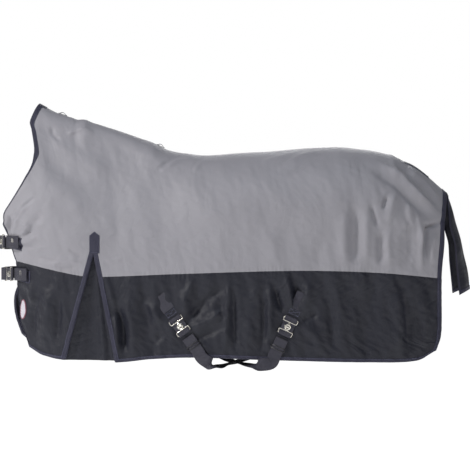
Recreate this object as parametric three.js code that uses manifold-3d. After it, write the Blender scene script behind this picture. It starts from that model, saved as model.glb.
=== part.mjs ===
// A high-neck turnout rug, standing as it hangs on a horse: millimetres, +Z up, the tail towards +X,
// the horse's left side towards -Y. The origin is under the lining at the withers, where the rug rests.
import * as THREE from "three";
import { mergeVertices } from "three/addons/utils/BufferGeometryUtils.js";
import Module from "manifold-3d";

const wasm = await Module();
wasm.setup();

// ---- driving sizes ----
const bodyLength = 1802; // top of the chest to the tail head, seen from the side
const sideDrop = 843; // withers to hem, seen from the side
const barrelWidth = 610; // across the widest ribs
const chestGap = 150; // between the two front edges, which the chest straps bridge
const noseDepth = 300; // how far back the chest takes to reach its full width

const shellThickness = 2;
const fillThickness = 4;
const liningThickness = 1.2;
const layerGap = 0.6;
const tapeThickness = 1.2;
const tapeGap = 0.4;
const panelGap = 1; // between pieces that meet edge to edge

const bindingWidth = 16;
const hemBindingWidth = 12;
const crestBandWidth = 30;
const gussetTapeWidth = 17;
const gussetOverlap = 14; // how far the gusset reaches behind the edges of its slit
const overhang = 9; // how far a cutting shape reaches past the cloth's own edge
const fillInset = 20; // the fill stops short of every bound edge

const webbingWidth = 50;
const webbingThickness = 2.2;
const barWidth = 5; // of the frames that the webbing passes through
const barThickness = 4.4;
const frameWindow = 11; // along the strap
const frameClearance = 1.5; // on each side of the webbing
const barClearance = 0.7; // between a bar and the webbing looped round it
const platePlay = 0.6; // between the hook, the ring and the T-head
const hookReach = 18; // from the hook's frame to the middle of its post
const stemWidth = 9;
const stemThickness = 2;
const postDiameter = 7;
const headLength = 17;
const headWidth = 7;
const headThickness = 3;
const ringOuter = 25;
const ringHole = 12;
const ringThickness = 2.4;
const foldedLength = 40; // of webbing stitched back on itself at each fitting
const sliderLength = 16;
const sliderThickness = 1.6;
const sliderBar = 4; // along the strap, at each end of the slider
const sliderTravel = 9; // to each side, along its strap
const strapRunOut = 22; // straight webbing beyond the slider's travel

// ---- the pattern, drawn for the sizes below and graded to the driving sizes ----
const pattern = { length: 1802, drop: 843, width: 610 };
const gradeX = bodyLength / pattern.length;
const gradeZ = sideDrop / pattern.drop;
const gradeY = barrelWidth / pattern.width;

// A smooth curve through [place, value] pairs, straight beyond its ends.
function through(pairs) {
  const last = pairs.length - 1;
  const slopes = pairs.map((_, i) => {
    const before = pairs[Math.max(i - 1, 0)];
    const after = pairs[Math.min(i + 1, last)];
    return (after[1] - before[1]) / (after[0] - before[0]);
  });
  return (at) => {
    if (at <= pairs[0][0]) return pairs[0][1] + slopes[0] * (at - pairs[0][0]);
    if (at >= pairs[last][0]) return pairs[last][1] + slopes[last] * (at - pairs[last][0]);
    const i = pairs.findIndex((pair) => pair[0] > at) - 1;
    const span = pairs[i + 1][0] - pairs[i][0];
    const k = (at - pairs[i][0]) / span;
    const ease = k * k * (3 - 2 * k);
    const start = k * (1 - k) * (1 - k) * span * slopes[i];
    const end = k * k * (1 - k) * span * slopes[i + 1];
    return pairs[i][1] * (1 - ease) + pairs[i + 1][1] * ease + start - end;
  };
}
const alongBody = (pairs) => through(pairs.map(([x, z]) => [x * gradeX, z * gradeZ]));
const upBody = (pairs) => through(pairs.map(([z, x]) => [z * gradeZ, x * gradeX]));

// Heights along the body: [x, z].
const spineZ = alongBody([
  [-533, 191], [-451, 150], [-287, 105], [-102, 43], [0, 0], [82, -14], [164, -22], [266, -12],
  [410, -4], [600, 11], [738, 9], [881, -14], [1004, -68], [1127, -170],
]);
const seamZ = alongBody([
  [-618, -452], [-541, -469], [-346, -509], [-251, -512], [50, -500], [522, -487], [838, -496], [1086, -519],
]);
const hemZ = alongBody([
  [-564, -798], [-498, -829], [-403, -842], [-206, -849], [-68, -835], [101, -827], [385, -835],
  [857, -846], [995, -839], [1062, -804],
]);
// Edges down the body: [z, x].
const neckline = upBody([
  [-330, -700], [-282, -676], [-258, -671], [-209, -638], [-161, -606], [-112, -578], [-64, -554],
  [-15, -545], [9, -545], [82, -558], [112, -565], [154, -550], [191, -533],
]);
const chestCut = {
  left: upBody([[-798, -564], [-743, -580], [-600, -640], [-400, -720]]),
  right: upBody([[-790, -576], [-755, -616], [-724, -636], [-600, -680], [-400, -740]]),
};
const chestLine = upBody([
  [-843, -575], [-713, -596], [-610, -612], [-533, -616], [-464, -622], [-383, -648], [-282, -673],
  [-200, -690],
]);
const rearEdge = upBody([
  [-804, 1062], [-764, 1078], [-701, 1086], [-520, 1086], [-386, 1098], [-311, 1101], [-170, 1127],
]);
// Half widths along the body: [x, y].
const ribWidth = through([
  [-533, 205], [-272, 235], [-26, 268], [301, 300], [546, 305], [792, 292], [955, 262], [1127, 200],
].map(([x, y]) => [x * gradeX, y * gradeY]));

const share = (value, from, to) => Math.min(1, Math.max(0, (value - from) / (to - from)));
const smooth = (k) => k * k * (3 - 2 * k);
const quarterRound = (k) => Math.sqrt(1 - (1 - share(k, 0, 1)) ** 2);

// The right chest panel stands further forward than the left, low down.
const chestBulge = 40 * gradeX;
const chestBulgeAt = (z) => Math.sin(Math.PI * share(z, -860 * gradeZ, -480 * gradeZ)) ** 1.5;
const chestEdgeX = (z, side) => chestLine(z) - (side > 0 ? chestBulge * chestBulgeAt(z) : 0);
// The chest is half an ellipse seen from above. Its edges stop short of the tip by this much.
const chestHalf = chestGap / 2 / ribWidth(-533 * gradeX);
const tipAhead = noseDepth * (1 - Math.sqrt(1 - chestHalf ** 2));
const chestX = (z, side) => chestEdgeX(z, side) - tipAhead;

// How far the cloth stands from the middle plane at a point of the side view.
function halfWidth(x, z, side) {
  const below = Math.max(0, spineZ(x) - z) / sideDrop;
  const barrel = quarterRound(below / 0.36);
  const neck = 0.3 * quarterRound(below / 0.075) + 0.7 * smooth(share(below, 0, 0.6));
  const towardsBarrel = smooth(share(x, -300 * gradeX, 250 * gradeX));
  const dome = neck + (barrel - neck) * towardsBarrel;
  return ribWidth(x) * dome * quarterRound((x - chestX(z, side)) / noseDepth);
}

function frontX(z, side) {
  const cut = chestCut[side > 0 ? "right" : "left"];
  return Math.max(chestEdgeX(z, side), neckline(z), cut(z));
}

// Corners of the side view: front and rear ends of the spine, of the colour seam and of the hem.
const spineEnds = [-533 * gradeX, 1127 * gradeX];
const seamEnds = [-620 * gradeX, 1086 * gradeX];
const hemEnds = { left: -564 * gradeX, right: -576 * gradeX, rear: 1062 * gradeX };

// A share of the way that starts slowly, as an angle does, and then goes on evenly.
function easedStart(k, part) {
  const turn = (part * Math.PI) / 2;
  const bend = turn / (turn + 1 - part);
  if (k < bend) return part * (1 - Math.cos((Math.PI * k) / (2 * bend)));
  return part + ((1 - part) * (k - bend)) / (1 - bend);
}
const lerp = (a, b, k) => a + (b - a) * k;

// The cloth's face. u runs from the front edge (0) to the rear edge (1). v runs from the left hem (-2)
// by the left seam (-1), the spine (0) and the right seam (1) to the right hem (2).
function rugPoint(u, v) {
  const side = v < 0 ? -1 : 1;
  const row = Math.abs(v);
  const along = easedStart(u, 0.18 * smooth(share(row, 0.45, 0.8)));
  const isUpper = row <= 1;
  const down = isUpper ? easedStart(row, 0.5) : row - 1;
  const hemFront = side > 0 ? hemEnds.right : hemEnds.left;
  const top = isUpper ? spineEnds : seamEnds;
  const bottom = isUpper ? seamEnds : [hemFront, hemEnds.rear];
  const topZ = isUpper ? spineZ : seamZ;
  const bottomZ = isUpper ? seamZ : hemZ;
  const xTop = lerp(top[0], top[1], along);
  const xBottom = lerp(bottom[0], bottom[1], along);
  const z = lerp(topZ(xTop), bottomZ(xBottom), down);
  const frontZ = lerp(topZ(top[0]), bottomZ(bottom[0]), down);
  const rearZ = lerp(topZ(top[1]), bottomZ(bottom[1]), down);
  const straightFront = lerp(frontX(topZ(top[0]), side), frontX(bottomZ(bottom[0]), side), down);
  const straightRear = lerp(rearEdge(topZ(top[1])), rearEdge(bottomZ(bottom[1])), down);
  const frontPull = frontX(frontZ, side) - straightFront;
  const rearPull = rearEdge(rearZ) - straightRear;
  const x = lerp(xTop, xBottom, down) + (1 - along) * frontPull + along * rearPull;
  return new THREE.Vector3(x, row === 0 ? 0 : side * halfWidth(x, z, side), z);
}
function rugNormal(u, v) {
  const step = 0.004;
  const u0 = Math.max(0, u - step);
  const u1 = Math.min(1, u + step);
  const v0 = Math.max(-2, v - step);
  const v1 = Math.min(2, v + step);
  const alongU = rugPoint(u1, v).sub(rugPoint(u0, v));
  const alongV = rugPoint(u, v1).sub(rugPoint(u, v0));
  return alongU.cross(alongV).normalize();
}

// ---- solids ----
function solidOf(geometry) {
  const bare = new THREE.BufferGeometry();
  const loose = geometry.index ? geometry.toNonIndexed() : geometry;
  bare.setAttribute("position", loose.getAttribute("position"));
  const merged = mergeVertices(bare, 1e-3);
  return new wasm.Manifold(new wasm.Mesh({
    numProp: 3,
    vertProperties: new Float32Array(merged.getAttribute("position").array),
    triVerts: new Uint32Array(merged.index.array),
  }));
}
function geometryOf(solid) {
  const mesh = solid.getMesh();
  const geometry = new THREE.BufferGeometry();
  const points = new Float32Array(mesh.numVert * 3);
  for (let i = 0; i < mesh.numVert; i++) {
    points.set(mesh.vertProperties.subarray(i * mesh.numProp, i * mesh.numProp + 3), i * 3);
  }
  geometry.setAttribute("position", new THREE.BufferAttribute(points, 3));
  geometry.setIndex(new THREE.BufferAttribute(mesh.triVerts, 1));
  return geometry;
}
// A cut can leave crumbs beside the piece: only the largest body is the piece.
function mainBody(solid) {
  return solid.decompose().reduce((a, b) => (b.volume() > a.volume() ? b : a));
}

// A closed solid from a grid of points on its outer face and the same grid on its inner face.
function sheetSolid(outer, inner) {
  const rows = outer.length;
  const columns = outer[0].length;
  const points = [...outer.flat(), ...inner.flat()];
  const at = (layer, i, j) => layer * rows * columns + i * columns + j;
  const faces = [];
  const quad = (a, b, c, d) => faces.push(a, b, c, a, c, d);
  for (let i = 0; i + 1 < rows; i++) {
    for (let j = 0; j + 1 < columns; j++) {
      quad(at(0, i, j), at(0, i + 1, j), at(0, i + 1, j + 1), at(0, i, j + 1));
      quad(at(1, i, j), at(1, i, j + 1), at(1, i + 1, j + 1), at(1, i + 1, j));
    }
    quad(at(0, i, 0), at(1, i, 0), at(1, i + 1, 0), at(0, i + 1, 0));
    quad(at(0, i + 1, columns - 1), at(1, i + 1, columns - 1), at(1, i, columns - 1), at(0, i, columns - 1));
  }
  for (let j = 0; j + 1 < columns; j++) {
    quad(at(0, 0, j + 1), at(1, 0, j + 1), at(1, 0, j), at(0, 0, j));
    quad(at(0, rows - 1, j), at(1, rows - 1, j), at(1, rows - 1, j + 1), at(0, rows - 1, j + 1));
  }
  const geometry = new THREE.BufferGeometry().setFromPoints(points);
  geometry.setIndex(faces);
  return solidOf(geometry);
}

// The cloth between two heights over its face, on the grid that every layer shares.
const columnsU = 22;
const spineLength = spineEnds[1] - spineEnds[0];
const bindingU = bindingWidth / spineLength;
const crestU = crestBandWidth / spineLength;
const gridU = [0, bindingU, crestU, ...Array.from({ length: columnsU }, (_, i) => (i + 1) / columnsU)];
const rowsUpper = 8;
const rowsLower = 3;
const seamRow = 1 + panelGap / sideDrop; // the side panels start just below the upper shell
const halfRows = [
  ...Array.from({ length: rowsUpper + 1 }, (_, i) => i / rowsUpper),
  ...Array.from({ length: rowsLower + 1 }, (_, i) => lerp(seamRow, 2, i / rowsLower)),
];
const gridV = [...halfRows.slice(1).reverse().map((v) => -v), ...halfRows];
function layer(top, bottom, from = -2, to = 2, firstU = 0, lastU = 1) {
  const us = gridU.filter((u) => u >= firstU && u <= lastU);
  const vs = gridV.filter((v) => v >= from && v <= to);
  const lifted = (u, v, height) => rugPoint(u, v).addScaledVector(rugNormal(u, v), height);
  const face = (height) => us.map((u) => vs.map((v) => lifted(u, v, height)));
  return sheetSolid(face(top), face(bottom));
}

// A prism across the body, from an outline of [x, z] points in the side view.
const farOut = 500;
function prism(outline, side = 0) {
  const shape = new THREE.Shape(outline.map(([x, z]) => new THREE.Vector2(x, z)));
  const depth = side === 0 ? 2 * farOut : farOut;
  const geometry = new THREE.ExtrudeGeometry(shape, { depth, bevelEnabled: false });
  geometry.rotateX(Math.PI / 2).translate(0, side < 0 ? 0 : farOut, 0);
  return solidOf(geometry);
}
// A strip beside a line in the side view, from `near` to `far` millimetres to the left of its direction.
function strip(line, near, far) {
  const shifted = (by) => line.map((point, i) => {
    const a = line[Math.max(i - 1, 0)];
    const b = line[Math.min(i + 1, line.length - 1)];
    const size = Math.hypot(b[0] - a[0], b[1] - a[1]);
    return [point[0] - ((b[1] - a[1]) / size) * by, point[1] + ((b[0] - a[0]) / size) * by];
  });
  return [...shifted(near), ...shifted(far).reverse()];
}
const sampled = (count, from, to, pointAt) =>
  Array.from({ length: count + 1 }, (_, i) => pointAt(lerp(from, to, i / count)));

// ---- the slit over the shoulder and the chest flap in front of it ----
const apex = [-295 * gradeX, -419 * gradeZ];
const slitFront = [-411 * gradeX, -843 * gradeZ];
const slitRear = [-207 * gradeX, -849 * gradeZ];
const flapTop = [-650 * gradeX, -170 * gradeZ]; // where the flap's fold runs out through the neckline
const beyond = (from, to, k) => [lerp(from[0], to[0], k), lerp(from[1], to[1], k)];
const shifted = (point, x, z) => [point[0] + x, point[1] + z];
const farFront = -900 * gradeX;
const farDown = -1100 * gradeZ;
const farUp = 900 * gradeZ;
const chestOutline = [
  apex, beyond(apex, slitFront, 1.4), [farFront, farDown], [farFront, 40 * gradeZ],
  beyond(apex, flapTop, 1.3),
];
const slitOutline = [apex, beyond(apex, slitFront, 1.4), beyond(apex, slitRear, 1.4)];
const gussetOutline = [
  shifted(apex, -gussetOverlap, 10), shifted(apex, gussetOverlap, 10),
  shifted(slitRear, gussetOverlap, 0), shifted(beyond(apex, slitRear, 1.3), gussetOverlap, 0),
  shifted(beyond(apex, slitFront, 1.3), -gussetOverlap, 0), shifted(slitFront, -gussetOverlap, 0),
];
const chestPrism = prism(chestOutline);
const openFront = chestPrism.add(prism(slitOutline));
const onFold = [0, 4]; // the outline's corners that lie on the flap's fold
const chestBlock = prism(chestOutline.map((point, i) =>
  onFold.includes(i) ? shifted(point, -panelGap, -panelGap) : point));
const farRear = 2000 * gradeX;
const above = (z, side = 0) =>
  prism([[farFront, z], [farRear, z], [farRear, farUp], [farFront, farUp]], side);
const halves = { left: above(farDown, -1), right: above(farDown, 1) };

// ---- materials ----
const cloth = (color) => new THREE.MeshStandardMaterial({ color, roughness: 0.6, metalness: 0 });
const greyCloth = cloth(0x96949b);
const navyCloth = cloth(0x2f3040);
const navyTape = cloth(0x34344a);
const liningCloth = cloth(0x1c1d24);
const wadding = cloth(0xe6e4de);
const badgeCloth = cloth(0xb9b5bd);
const darkNylon = new THREE.MeshStandardMaterial({ color: 0x15151c, roughness: 0.45, metalness: 0 });
const nickel = new THREE.MeshStandardMaterial({ color: 0xc9c6bf, roughness: 0.25, metalness: 1 });

const rug = new THREE.Group();
function add(name, solid, material) {
  const mesh = new THREE.Mesh(geometryOf(mainBody(solid)), material);
  mesh.name = name;
  rug.add(mesh);
}

// ---- cloth ----
const fillTop = -shellThickness - layerGap;
const liningTop = fillTop - fillThickness - layerGap;
const stack = -liningTop + liningThickness; // the whole thickness of the rug
const gussetTop = -stack - 2 * layerGap;
const tapeTop = tapeGap + tapeThickness;

const upperCloth = layer(0, -shellThickness, -1, 1);
add("upper_shell", upperCloth.subtract(openFront), greyCloth);

const wholeFill = layer(fillTop, fillTop - fillThickness);
const wholeLining = layer(liningTop, liningTop - liningThickness);
const wholeTape = layer(tapeTop, tapeGap);
const wholeWebbing = layer(tapeGap + webbingThickness, tapeGap);
const wholeGusset = layer(gussetTop, gussetTop - shellThickness);

const inset = (by) => {
  const front = sampled(20, 2, 0.02, (v) => rugPoint(0, -v)).map((p) => [p.x + by, p.z]);
  const rear = sampled(10, 0.02, 2, (v) => rugPoint(1, v)).map((p) => [p.x - by, p.z]);
  const hem = sampled(12, 0.93, 0.04, (u) => rugPoint(u, -2)).map((p) => [p.x, p.z + by]);
  const overTop = [[spineEnds[0] + by, farUp], [spineEnds[1] - by, farUp]];
  return [...front.slice(1), ...overTop, ...rear.slice(0, -1), ...hem];
};
const slitInset = [
  shifted(apex, 0, fillInset), shifted(beyond(apex, slitFront, 1.4), -fillInset, 0),
  shifted(beyond(apex, slitRear, 1.4), fillInset, 0),
];
const trimmedFill = wholeFill.intersect(prism(inset(fillInset)));
add("polyester_fill", trimmedFill.subtract(openFront).subtract(prism(slitInset)), wadding);
add("lining", wholeLining.subtract(openFront), liningCloth);

// Binding along the front edge follows its columns, the others are strips in the side view.
const frontTape = (from, to) => layer(tapeTop, tapeGap, from, to, 0, bindingU);
const crestBandEnd = 120 * gradeZ;
const crestEnd = above(crestBandEnd);
const hemLine = (side) => sampled(16, 0, 1, (u) => rugPoint(u, 2 * side)).map((p) => [p.x, p.z]);
const hemStrip = (side, near, far) => prism(strip(hemLine(side), near, far), side);
const rearLine = sampled(14, 0, 2, (v) => rugPoint(1, v)).map((p) => [p.x, p.z]);
const rearRun = [[rearLine[0][0], farUp], ...rearLine, [rearLine.at(-1)[0], farDown]];
const rearStrip = prism(strip(rearRun, 0, -bindingWidth));
const slitTape = (end, near, far) => prism(strip([apex, beyond(apex, end, 1.2)], near, far));

add("crest_band", layer(tapeTop, tapeGap, -1, 1, 0, crestU).intersect(crestEnd), navyTape);
const hemRoom = (side) => hemStrip(side, -overhang, hemBindingWidth + panelGap);
add("rear_binding", wholeTape.intersect(rearStrip).subtract(hemRoom(-1)).subtract(hemRoom(1)), navyTape);

// The pointed tab that covers the top of the slit.
const tabHalf = 20;
const tabHeight = 86;
const tabPoint = 16;
const tabOffset = 4; // towards the tail
const tabOutline = [
  [-tabHalf, 0], [tabHalf, 0], [tabHalf, tabHeight - tabPoint],
  [0, tabHeight], [-tabHalf, tabHeight - tabPoint],
].map(([x, z]) => shifted(apex, x + tabOffset, z));
const tabClearance = 3; // above the fold of the chest flap, so that the flap swings past the tab
const tabBlock = prism(chestOutline.map((point) => shifted(point, 0, tabClearance)));
const badgeRadii = [12, 40];
const badgeAt = [-588 * gradeX, -646 * gradeZ];
const badgeOutline = sampled(19, 0, (19 / 20) * 2 * Math.PI, (turn) =>
  shifted(badgeAt, badgeRadii[0] * Math.cos(turn), badgeRadii[1] * Math.sin(turn)));

// ---- chest and belly fastenings, each drawn along +X with +Z away from the horse ----
// A webbing loop holds the hook's frame, and another the ring's. The ring drops over the hook's post
// and the T-head above it keeps it there. Places along the strap are from the hook's loop bar.
const hookBars = [0, barWidth + frameWindow];
const postAt = hookBars[1] + barWidth / 2 + hookReach;
const ringBarAt = postAt + ringOuter / 2 + barWidth / 2;
const ringBars = [ringBarAt, ringBarAt + barWidth + frameWindow];
const frameHalf = webbingWidth / 2 + frameClearance + barWidth;
const hookLow = tapeGap + webbingThickness + barClearance;
const ringLow = hookLow + stemThickness + platePlay;
const headLow = ringLow + ringThickness + platePlay;
const headTop = headLow + headThickness;

function block(x0, x1, halfWidthY, z0, z1) {
  const geometry = new THREE.BoxGeometry(x1 - x0, 2 * halfWidthY, z1 - z0);
  return solidOf(geometry.translate((x0 + x1) / 2, 0, (z0 + z1) / 2));
}
function disc(x, radius, z0, z1) {
  const geometry = new THREE.CylinderGeometry(radius, radius, z1 - z0, 20);
  return solidOf(geometry.rotateX(Math.PI / 2).translate(x, 0, (z0 + z1) / 2));
}
function frame(bars, low) {
  const high = low + barThickness;
  const half = barWidth / 2;
  const window = block(bars[0] + half, bars[1] - half, frameHalf - barWidth, low - 1, high + 1);
  return block(bars[0] - half, bars[1] + half, frameHalf, low, high).subtract(window);
}
function hookPlate() {
  return frame(hookBars, hookLow)
    .add(block(hookBars[1], postAt, stemWidth / 2, hookLow, hookLow + stemThickness))
    .add(disc(postAt, postDiameter / 2, hookLow, headLow + headThickness / 2))
    .add(block(postAt - headWidth / 2, postAt + headWidth / 2, headLength / 2, headLow, headTop));
}
function ringPlate() {
  return frame(ringBars, ringLow)
    .add(disc(postAt, ringOuter / 2, ringLow, ringLow + ringThickness))
    .add(block(postAt, ringBars[0], ringOuter / 4, ringLow, ringLow + ringThickness))
    .subtract(disc(postAt, ringHole / 2, ringLow - 1, ringLow + barThickness + 1));
}
// Webbing folded round the bar at x and stitched back on itself, running off towards `way` along X.
function webbingLoop(x, low, way) {
  const inner = barThickness / 2 + barClearance;
  const outer = inner + webbingThickness;
  const mid = low + barThickness / 2;
  const bend = barWidth / 2 + barClearance;
  const meet = -bend - 2 * inner;
  const shape = new THREE.Shape([
    new THREE.Vector2(-foldedLength, mid - outer), new THREE.Vector2(bend, mid - outer),
  ]);
  shape.absarc(bend, mid, outer, -Math.PI / 2, Math.PI / 2, false);
  shape.lineTo(-bend, mid + outer);
  shape.lineTo(meet, mid - inner + webbingThickness);
  shape.lineTo(-foldedLength, mid - inner + webbingThickness);
  const hole = new THREE.Path([new THREE.Vector2(meet, mid - inner), new THREE.Vector2(bend, mid - inner)]);
  hole.absarc(bend, mid, inner, -Math.PI / 2, Math.PI / 2, false);
  hole.lineTo(-bend, mid + inner);
  shape.holes.push(hole);
  const settings = { depth: webbingWidth, bevelEnabled: false, curveSegments: 6 };
  const geometry = new THREE.ExtrudeGeometry(shape, settings);
  geometry.rotateX(Math.PI / 2).translate(0, webbingWidth / 2, 0);
  if (way > 0) geometry.rotateZ(Math.PI);
  return solidOf(geometry.translate(x, 0, 0));
}
const strapTop = ringLow - barClearance; // of the strap where it leaves the ring's loop
const strapBottom = strapTop - webbingThickness;
function slider(x) {
  const half = webbingWidth / 2 + frameClearance;
  const low = strapBottom - platePlay - sliderThickness;
  const high = strapTop + platePlay + sliderThickness;
  const ends = [x - sliderLength / 2, x + sliderLength / 2];
  const tunnel = block(ends[0] - 1, ends[1] + 1, half, low + sliderThickness, high - sliderThickness);
  const slot = block(ends[0] + sliderBar, ends[1] - sliderBar, half, strapTop, high + 1);
  return block(ends[0], ends[1], half + sliderThickness * 2, low, high)
    .subtract(tunnel).subtract(slot);
}
const sliderAt = ringBars[1] + foldedLength + sliderTravel + sliderLength / 2 + 4;
const pastSlider = sliderAt + sliderTravel + strapRunOut;

// The local axes of a fastening: where its loop bar is, which way the strap runs, which way is out.
function axes(origin, towards, out) {
  const x = towards.clone().sub(origin).projectOnPlane(out).normalize();
  return new THREE.Matrix4().makeBasis(x, out.clone().cross(x), out).setPosition(origin);
}
const moved = (solid, matrix) => solid.transform(matrix.elements);
function clothAt(x, z, side) {
  const step = 5;
  const slopeX = (halfWidth(x + step, z, side) - halfWidth(x - step, z, side)) / (2 * step);
  const slopeZ = (halfWidth(x, z + step, side) - halfWidth(x, z - step, side)) / (2 * step);
  const point = new THREE.Vector3(x, side * halfWidth(x, z, side), z);
  return { point, out: new THREE.Vector3(-slopeX, side, -slopeZ).normalize() };
}
// Webbing through a row of points, lying flat across `across` at each.
function ribbon(points, across, thickness = webbingThickness) {
  const corner = (i, y, z) => {
    const next = points[Math.min(i + 1, points.length - 1)];
    const along = next.clone().sub(points[Math.max(i - 1, 0)]).normalize();
    const wide = across[i].clone().projectOnPlane(along).normalize();
    const out = along.clone().cross(wide);
    const edge = points[i].clone().addScaledVector(wide, y * webbingWidth / 2);
    return edge.addScaledVector(out, z * thickness / 2);
  };
  const face = (z) => points.map((_, i) => [corner(i, -1, z), corner(i, 1, z)]);
  return sheetSolid(face(1), face(-1));
}

// ---- the two belly straps ----
// Each is sewn to the right side, crosses under the belly and hooks onto webbing sewn to the left side.
const hookPlaces = {
  front: { loopBar: [30, -676], heading: [0.58, -0.81], turnAhead: 64.57 },
  rear: { loopBar: [488, -674], heading: [-0.42, -0.91], turnAhead: 37.75 },
};
const underHem = 4; // between the hem and the upper edge of a strap that turns in below it
const crossing = { x: 255 * gradeX, z: -sideDrop - webbingWidth / 2 - underHem };
const crossingGap = 8;
const strapHinge = new THREE.Vector3(250 * gradeX, ribWidth(250 * gradeX) + 2, -852 * gradeZ);
const edgeDip = 0.34; // how far the twisted webbing's edge dips, for each millimetre of its width
const tuckRoom = 21; // of half the width, what can reach up inside the hem where the strap turns
const dipRoom = 9; // of that dip, what the room behind the strap takes up
const sewnLength = 110;
const hemReach = 190; // from the sewn end of a strap down to where it leaves the right hem
const seatPad = 62; // the patch under the end of the sewn webbing

for (const [name, other, drop] of [["front", "rear", 0], ["rear", "front", crossingGap]]) {
  const [barX, barZ] = hookPlaces[name].loopBar;
  const [headX, headZ] = hookPlaces[name].heading;
  const bar = [barX * gradeX, barZ * gradeZ];
  // It runs straight until its slider has room and until the later of its edges nears the hem.
  const edgeAtHem = (bar[1] + sideDrop + Math.abs(headX) * webbingWidth / 2) / -headZ;
  const straightEnd = Math.max(pastSlider, edgeAtHem - hookPlaces[name].turnAhead);
  const near = clothAt(...bar, -1);
  const towards = near.point.clone().add(new THREE.Vector3(headX * 100, 0, headZ * 100));
  const local = axes(near.point, towards, near.out);
  const onStrap = (x, y, z) => new THREE.Vector3(x, y, z).applyMatrix4(local);

  const sewnStart = [bar[0] - headX * sewnLength, bar[1] - headZ * sewnLength];
  const sewnEnd = [bar[0] - headX * foldedLength / 2, bar[1] - headZ * foldedLength / 2];
  const sewnStrip = strip([sewnStart, sewnEnd], -webbingWidth / 2, webbingWidth / 2);
  const sewn = wholeWebbing.intersect(prism(sewnStrip, -1));
  add(`left_${name}_surcingle_webbing`, sewn.add(moved(webbingLoop(0, hookLow, -1), local)), navyTape);
  add(`${name}_surcingle_hook`, moved(hookPlate(), local), nickel);

  // On the right side the strap hangs from the place that mirrors the other strap's hook.
  const [farX, farZ] = hookPlaces[other].loopBar;
  const far = [farX * gradeX, farZ * gradeZ];
  const hemX = far[0] + hookPlaces[other].heading[0] * hemReach;
  const hemAt = clothAt(hemX, -800 * gradeZ, 1).point;
  const lowest = new THREE.Vector3(crossing.x, 0, crossing.z + drop);
  const strapMid = (strapTop + strapBottom) / 2;
  const leaving = onStrap(straightEnd, 0, strapMid);
  const turning = (across, y, down) =>
    new THREE.Vector3(lerp(leaving.x, lowest.x, across), y, lerp(leaving.z, lowest.z, down));
  const route = new THREE.CatmullRomCurve3([
    leaving, onStrap(straightEnd + 30, 0, strapMid + webbingWidth * edgeDip - dipRoom),
    turning(0.45, leaving.y - webbingWidth / 2 + tuckRoom, 0.8), turning(0.72, leaving.y / 2, 0.93), lowest,
    new THREE.Vector3(lerp(hemX, lowest.x, 0.6), hemAt.y / 2, lowest.z + 8),
    new THREE.Vector3(hemX, hemAt.y - 6, strapHinge.z - 6),
  ], false, "centripetal");
  const bends = 16;
  const points = [onStrap(ringBars[1] + foldedLength / 2, 0, strapMid), ...route.getPoints(bends)];
  const startWide = onStrap(0, -1, 0).sub(onStrap(0, 0, 0));
  const endWide = new THREE.Vector3(1, 0, 0);
  const turned = (i) => smooth(share((i - 1) / bends, 0, 0.6));
  const across = points.map((_, i) => startWide.clone().lerp(endWide, turned(i)));
  const strap = ribbon(points, across).add(moved(webbingLoop(ringBars[1], ringLow, 1), local));
  add(`${name}_surcingle_strap`, strap, navyTape);
  add(`${name}_surcingle_ring`, moved(ringPlate(), local), nickel);
  add(`${name}_surcingle_slider`, moved(slider(sliderAt), local), darkNylon);

  const farRun = [[far[0], far[1] + seatPad], [hemX, farDown]];
  const farStrip = prism(strip(farRun, -webbingWidth / 2, webbingWidth / 2), 1);
  const farWebbing = wholeWebbing.intersect(farStrip).subtract(hemRoom(1));
  add(`right_${other}_surcingle_webbing`, farWebbing, navyTape);
}

for (const [name, side] of [["left", -1], ["right", 1]]) {
  const half = halves[name];
  const upper = side < 0 ? layer(0, -shellThickness, -1, 0) : layer(0, -shellThickness, 0, 1);
  const lower = side < 0 ? layer(0, -shellThickness, -2, -seamRow) : layer(0, -shellThickness, seamRow, 2);
  const edgeTape = side < 0 ? frontTape(-2, 0) : frontTape(0, 2);
  add(`${name}_side_panel`, lower.subtract(openFront), navyCloth);
  add(`${name}_gusset`, wholeGusset.intersect(half).intersect(prism(gussetOutline, side)), navyCloth);
  add(`${name}_gusset_tab`, wholeTape.intersect(prism(tabOutline, side)).subtract(tabBlock), navyTape);
  const besideSlit = wholeTape.intersect(slitTape(slitRear, 0, gussetTapeWidth)).intersect(half);
  const underTab = prism(tabOutline.map((point) => shifted(point, 0, -panelGap)));
  add(`${name}_slit_tape`, besideSlit.subtract(underTab).subtract(hemRoom(side)).subtract(openFront), navyTape);
  const neckTape = edgeTape.subtract(above(crestBandEnd - panelGap));
  add(`${name}_neck_binding`, neckTape.subtract(openFront), navyTape);
  const hemTape = wholeTape.intersect(half).intersect(hemStrip(side, -overhang, hemBindingWidth));
  add(`${name}_hem_binding`, hemTape.subtract(openFront), navyTape);

  add(`${name}_chest_upper`, upper.intersect(chestBlock), greyCloth);
  add(`${name}_chest_panel`, lower.intersect(chestBlock), navyCloth);
  add(`${name}_chest_lining`, wholeLining.intersect(half).intersect(chestBlock), liningCloth);
  add(`${name}_chest_binding`, edgeTape.add(hemTape).intersect(chestBlock), navyTape);
}

add("oval_badge", wholeTape.intersect(prism(badgeOutline, -1)), badgeCloth);

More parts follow.
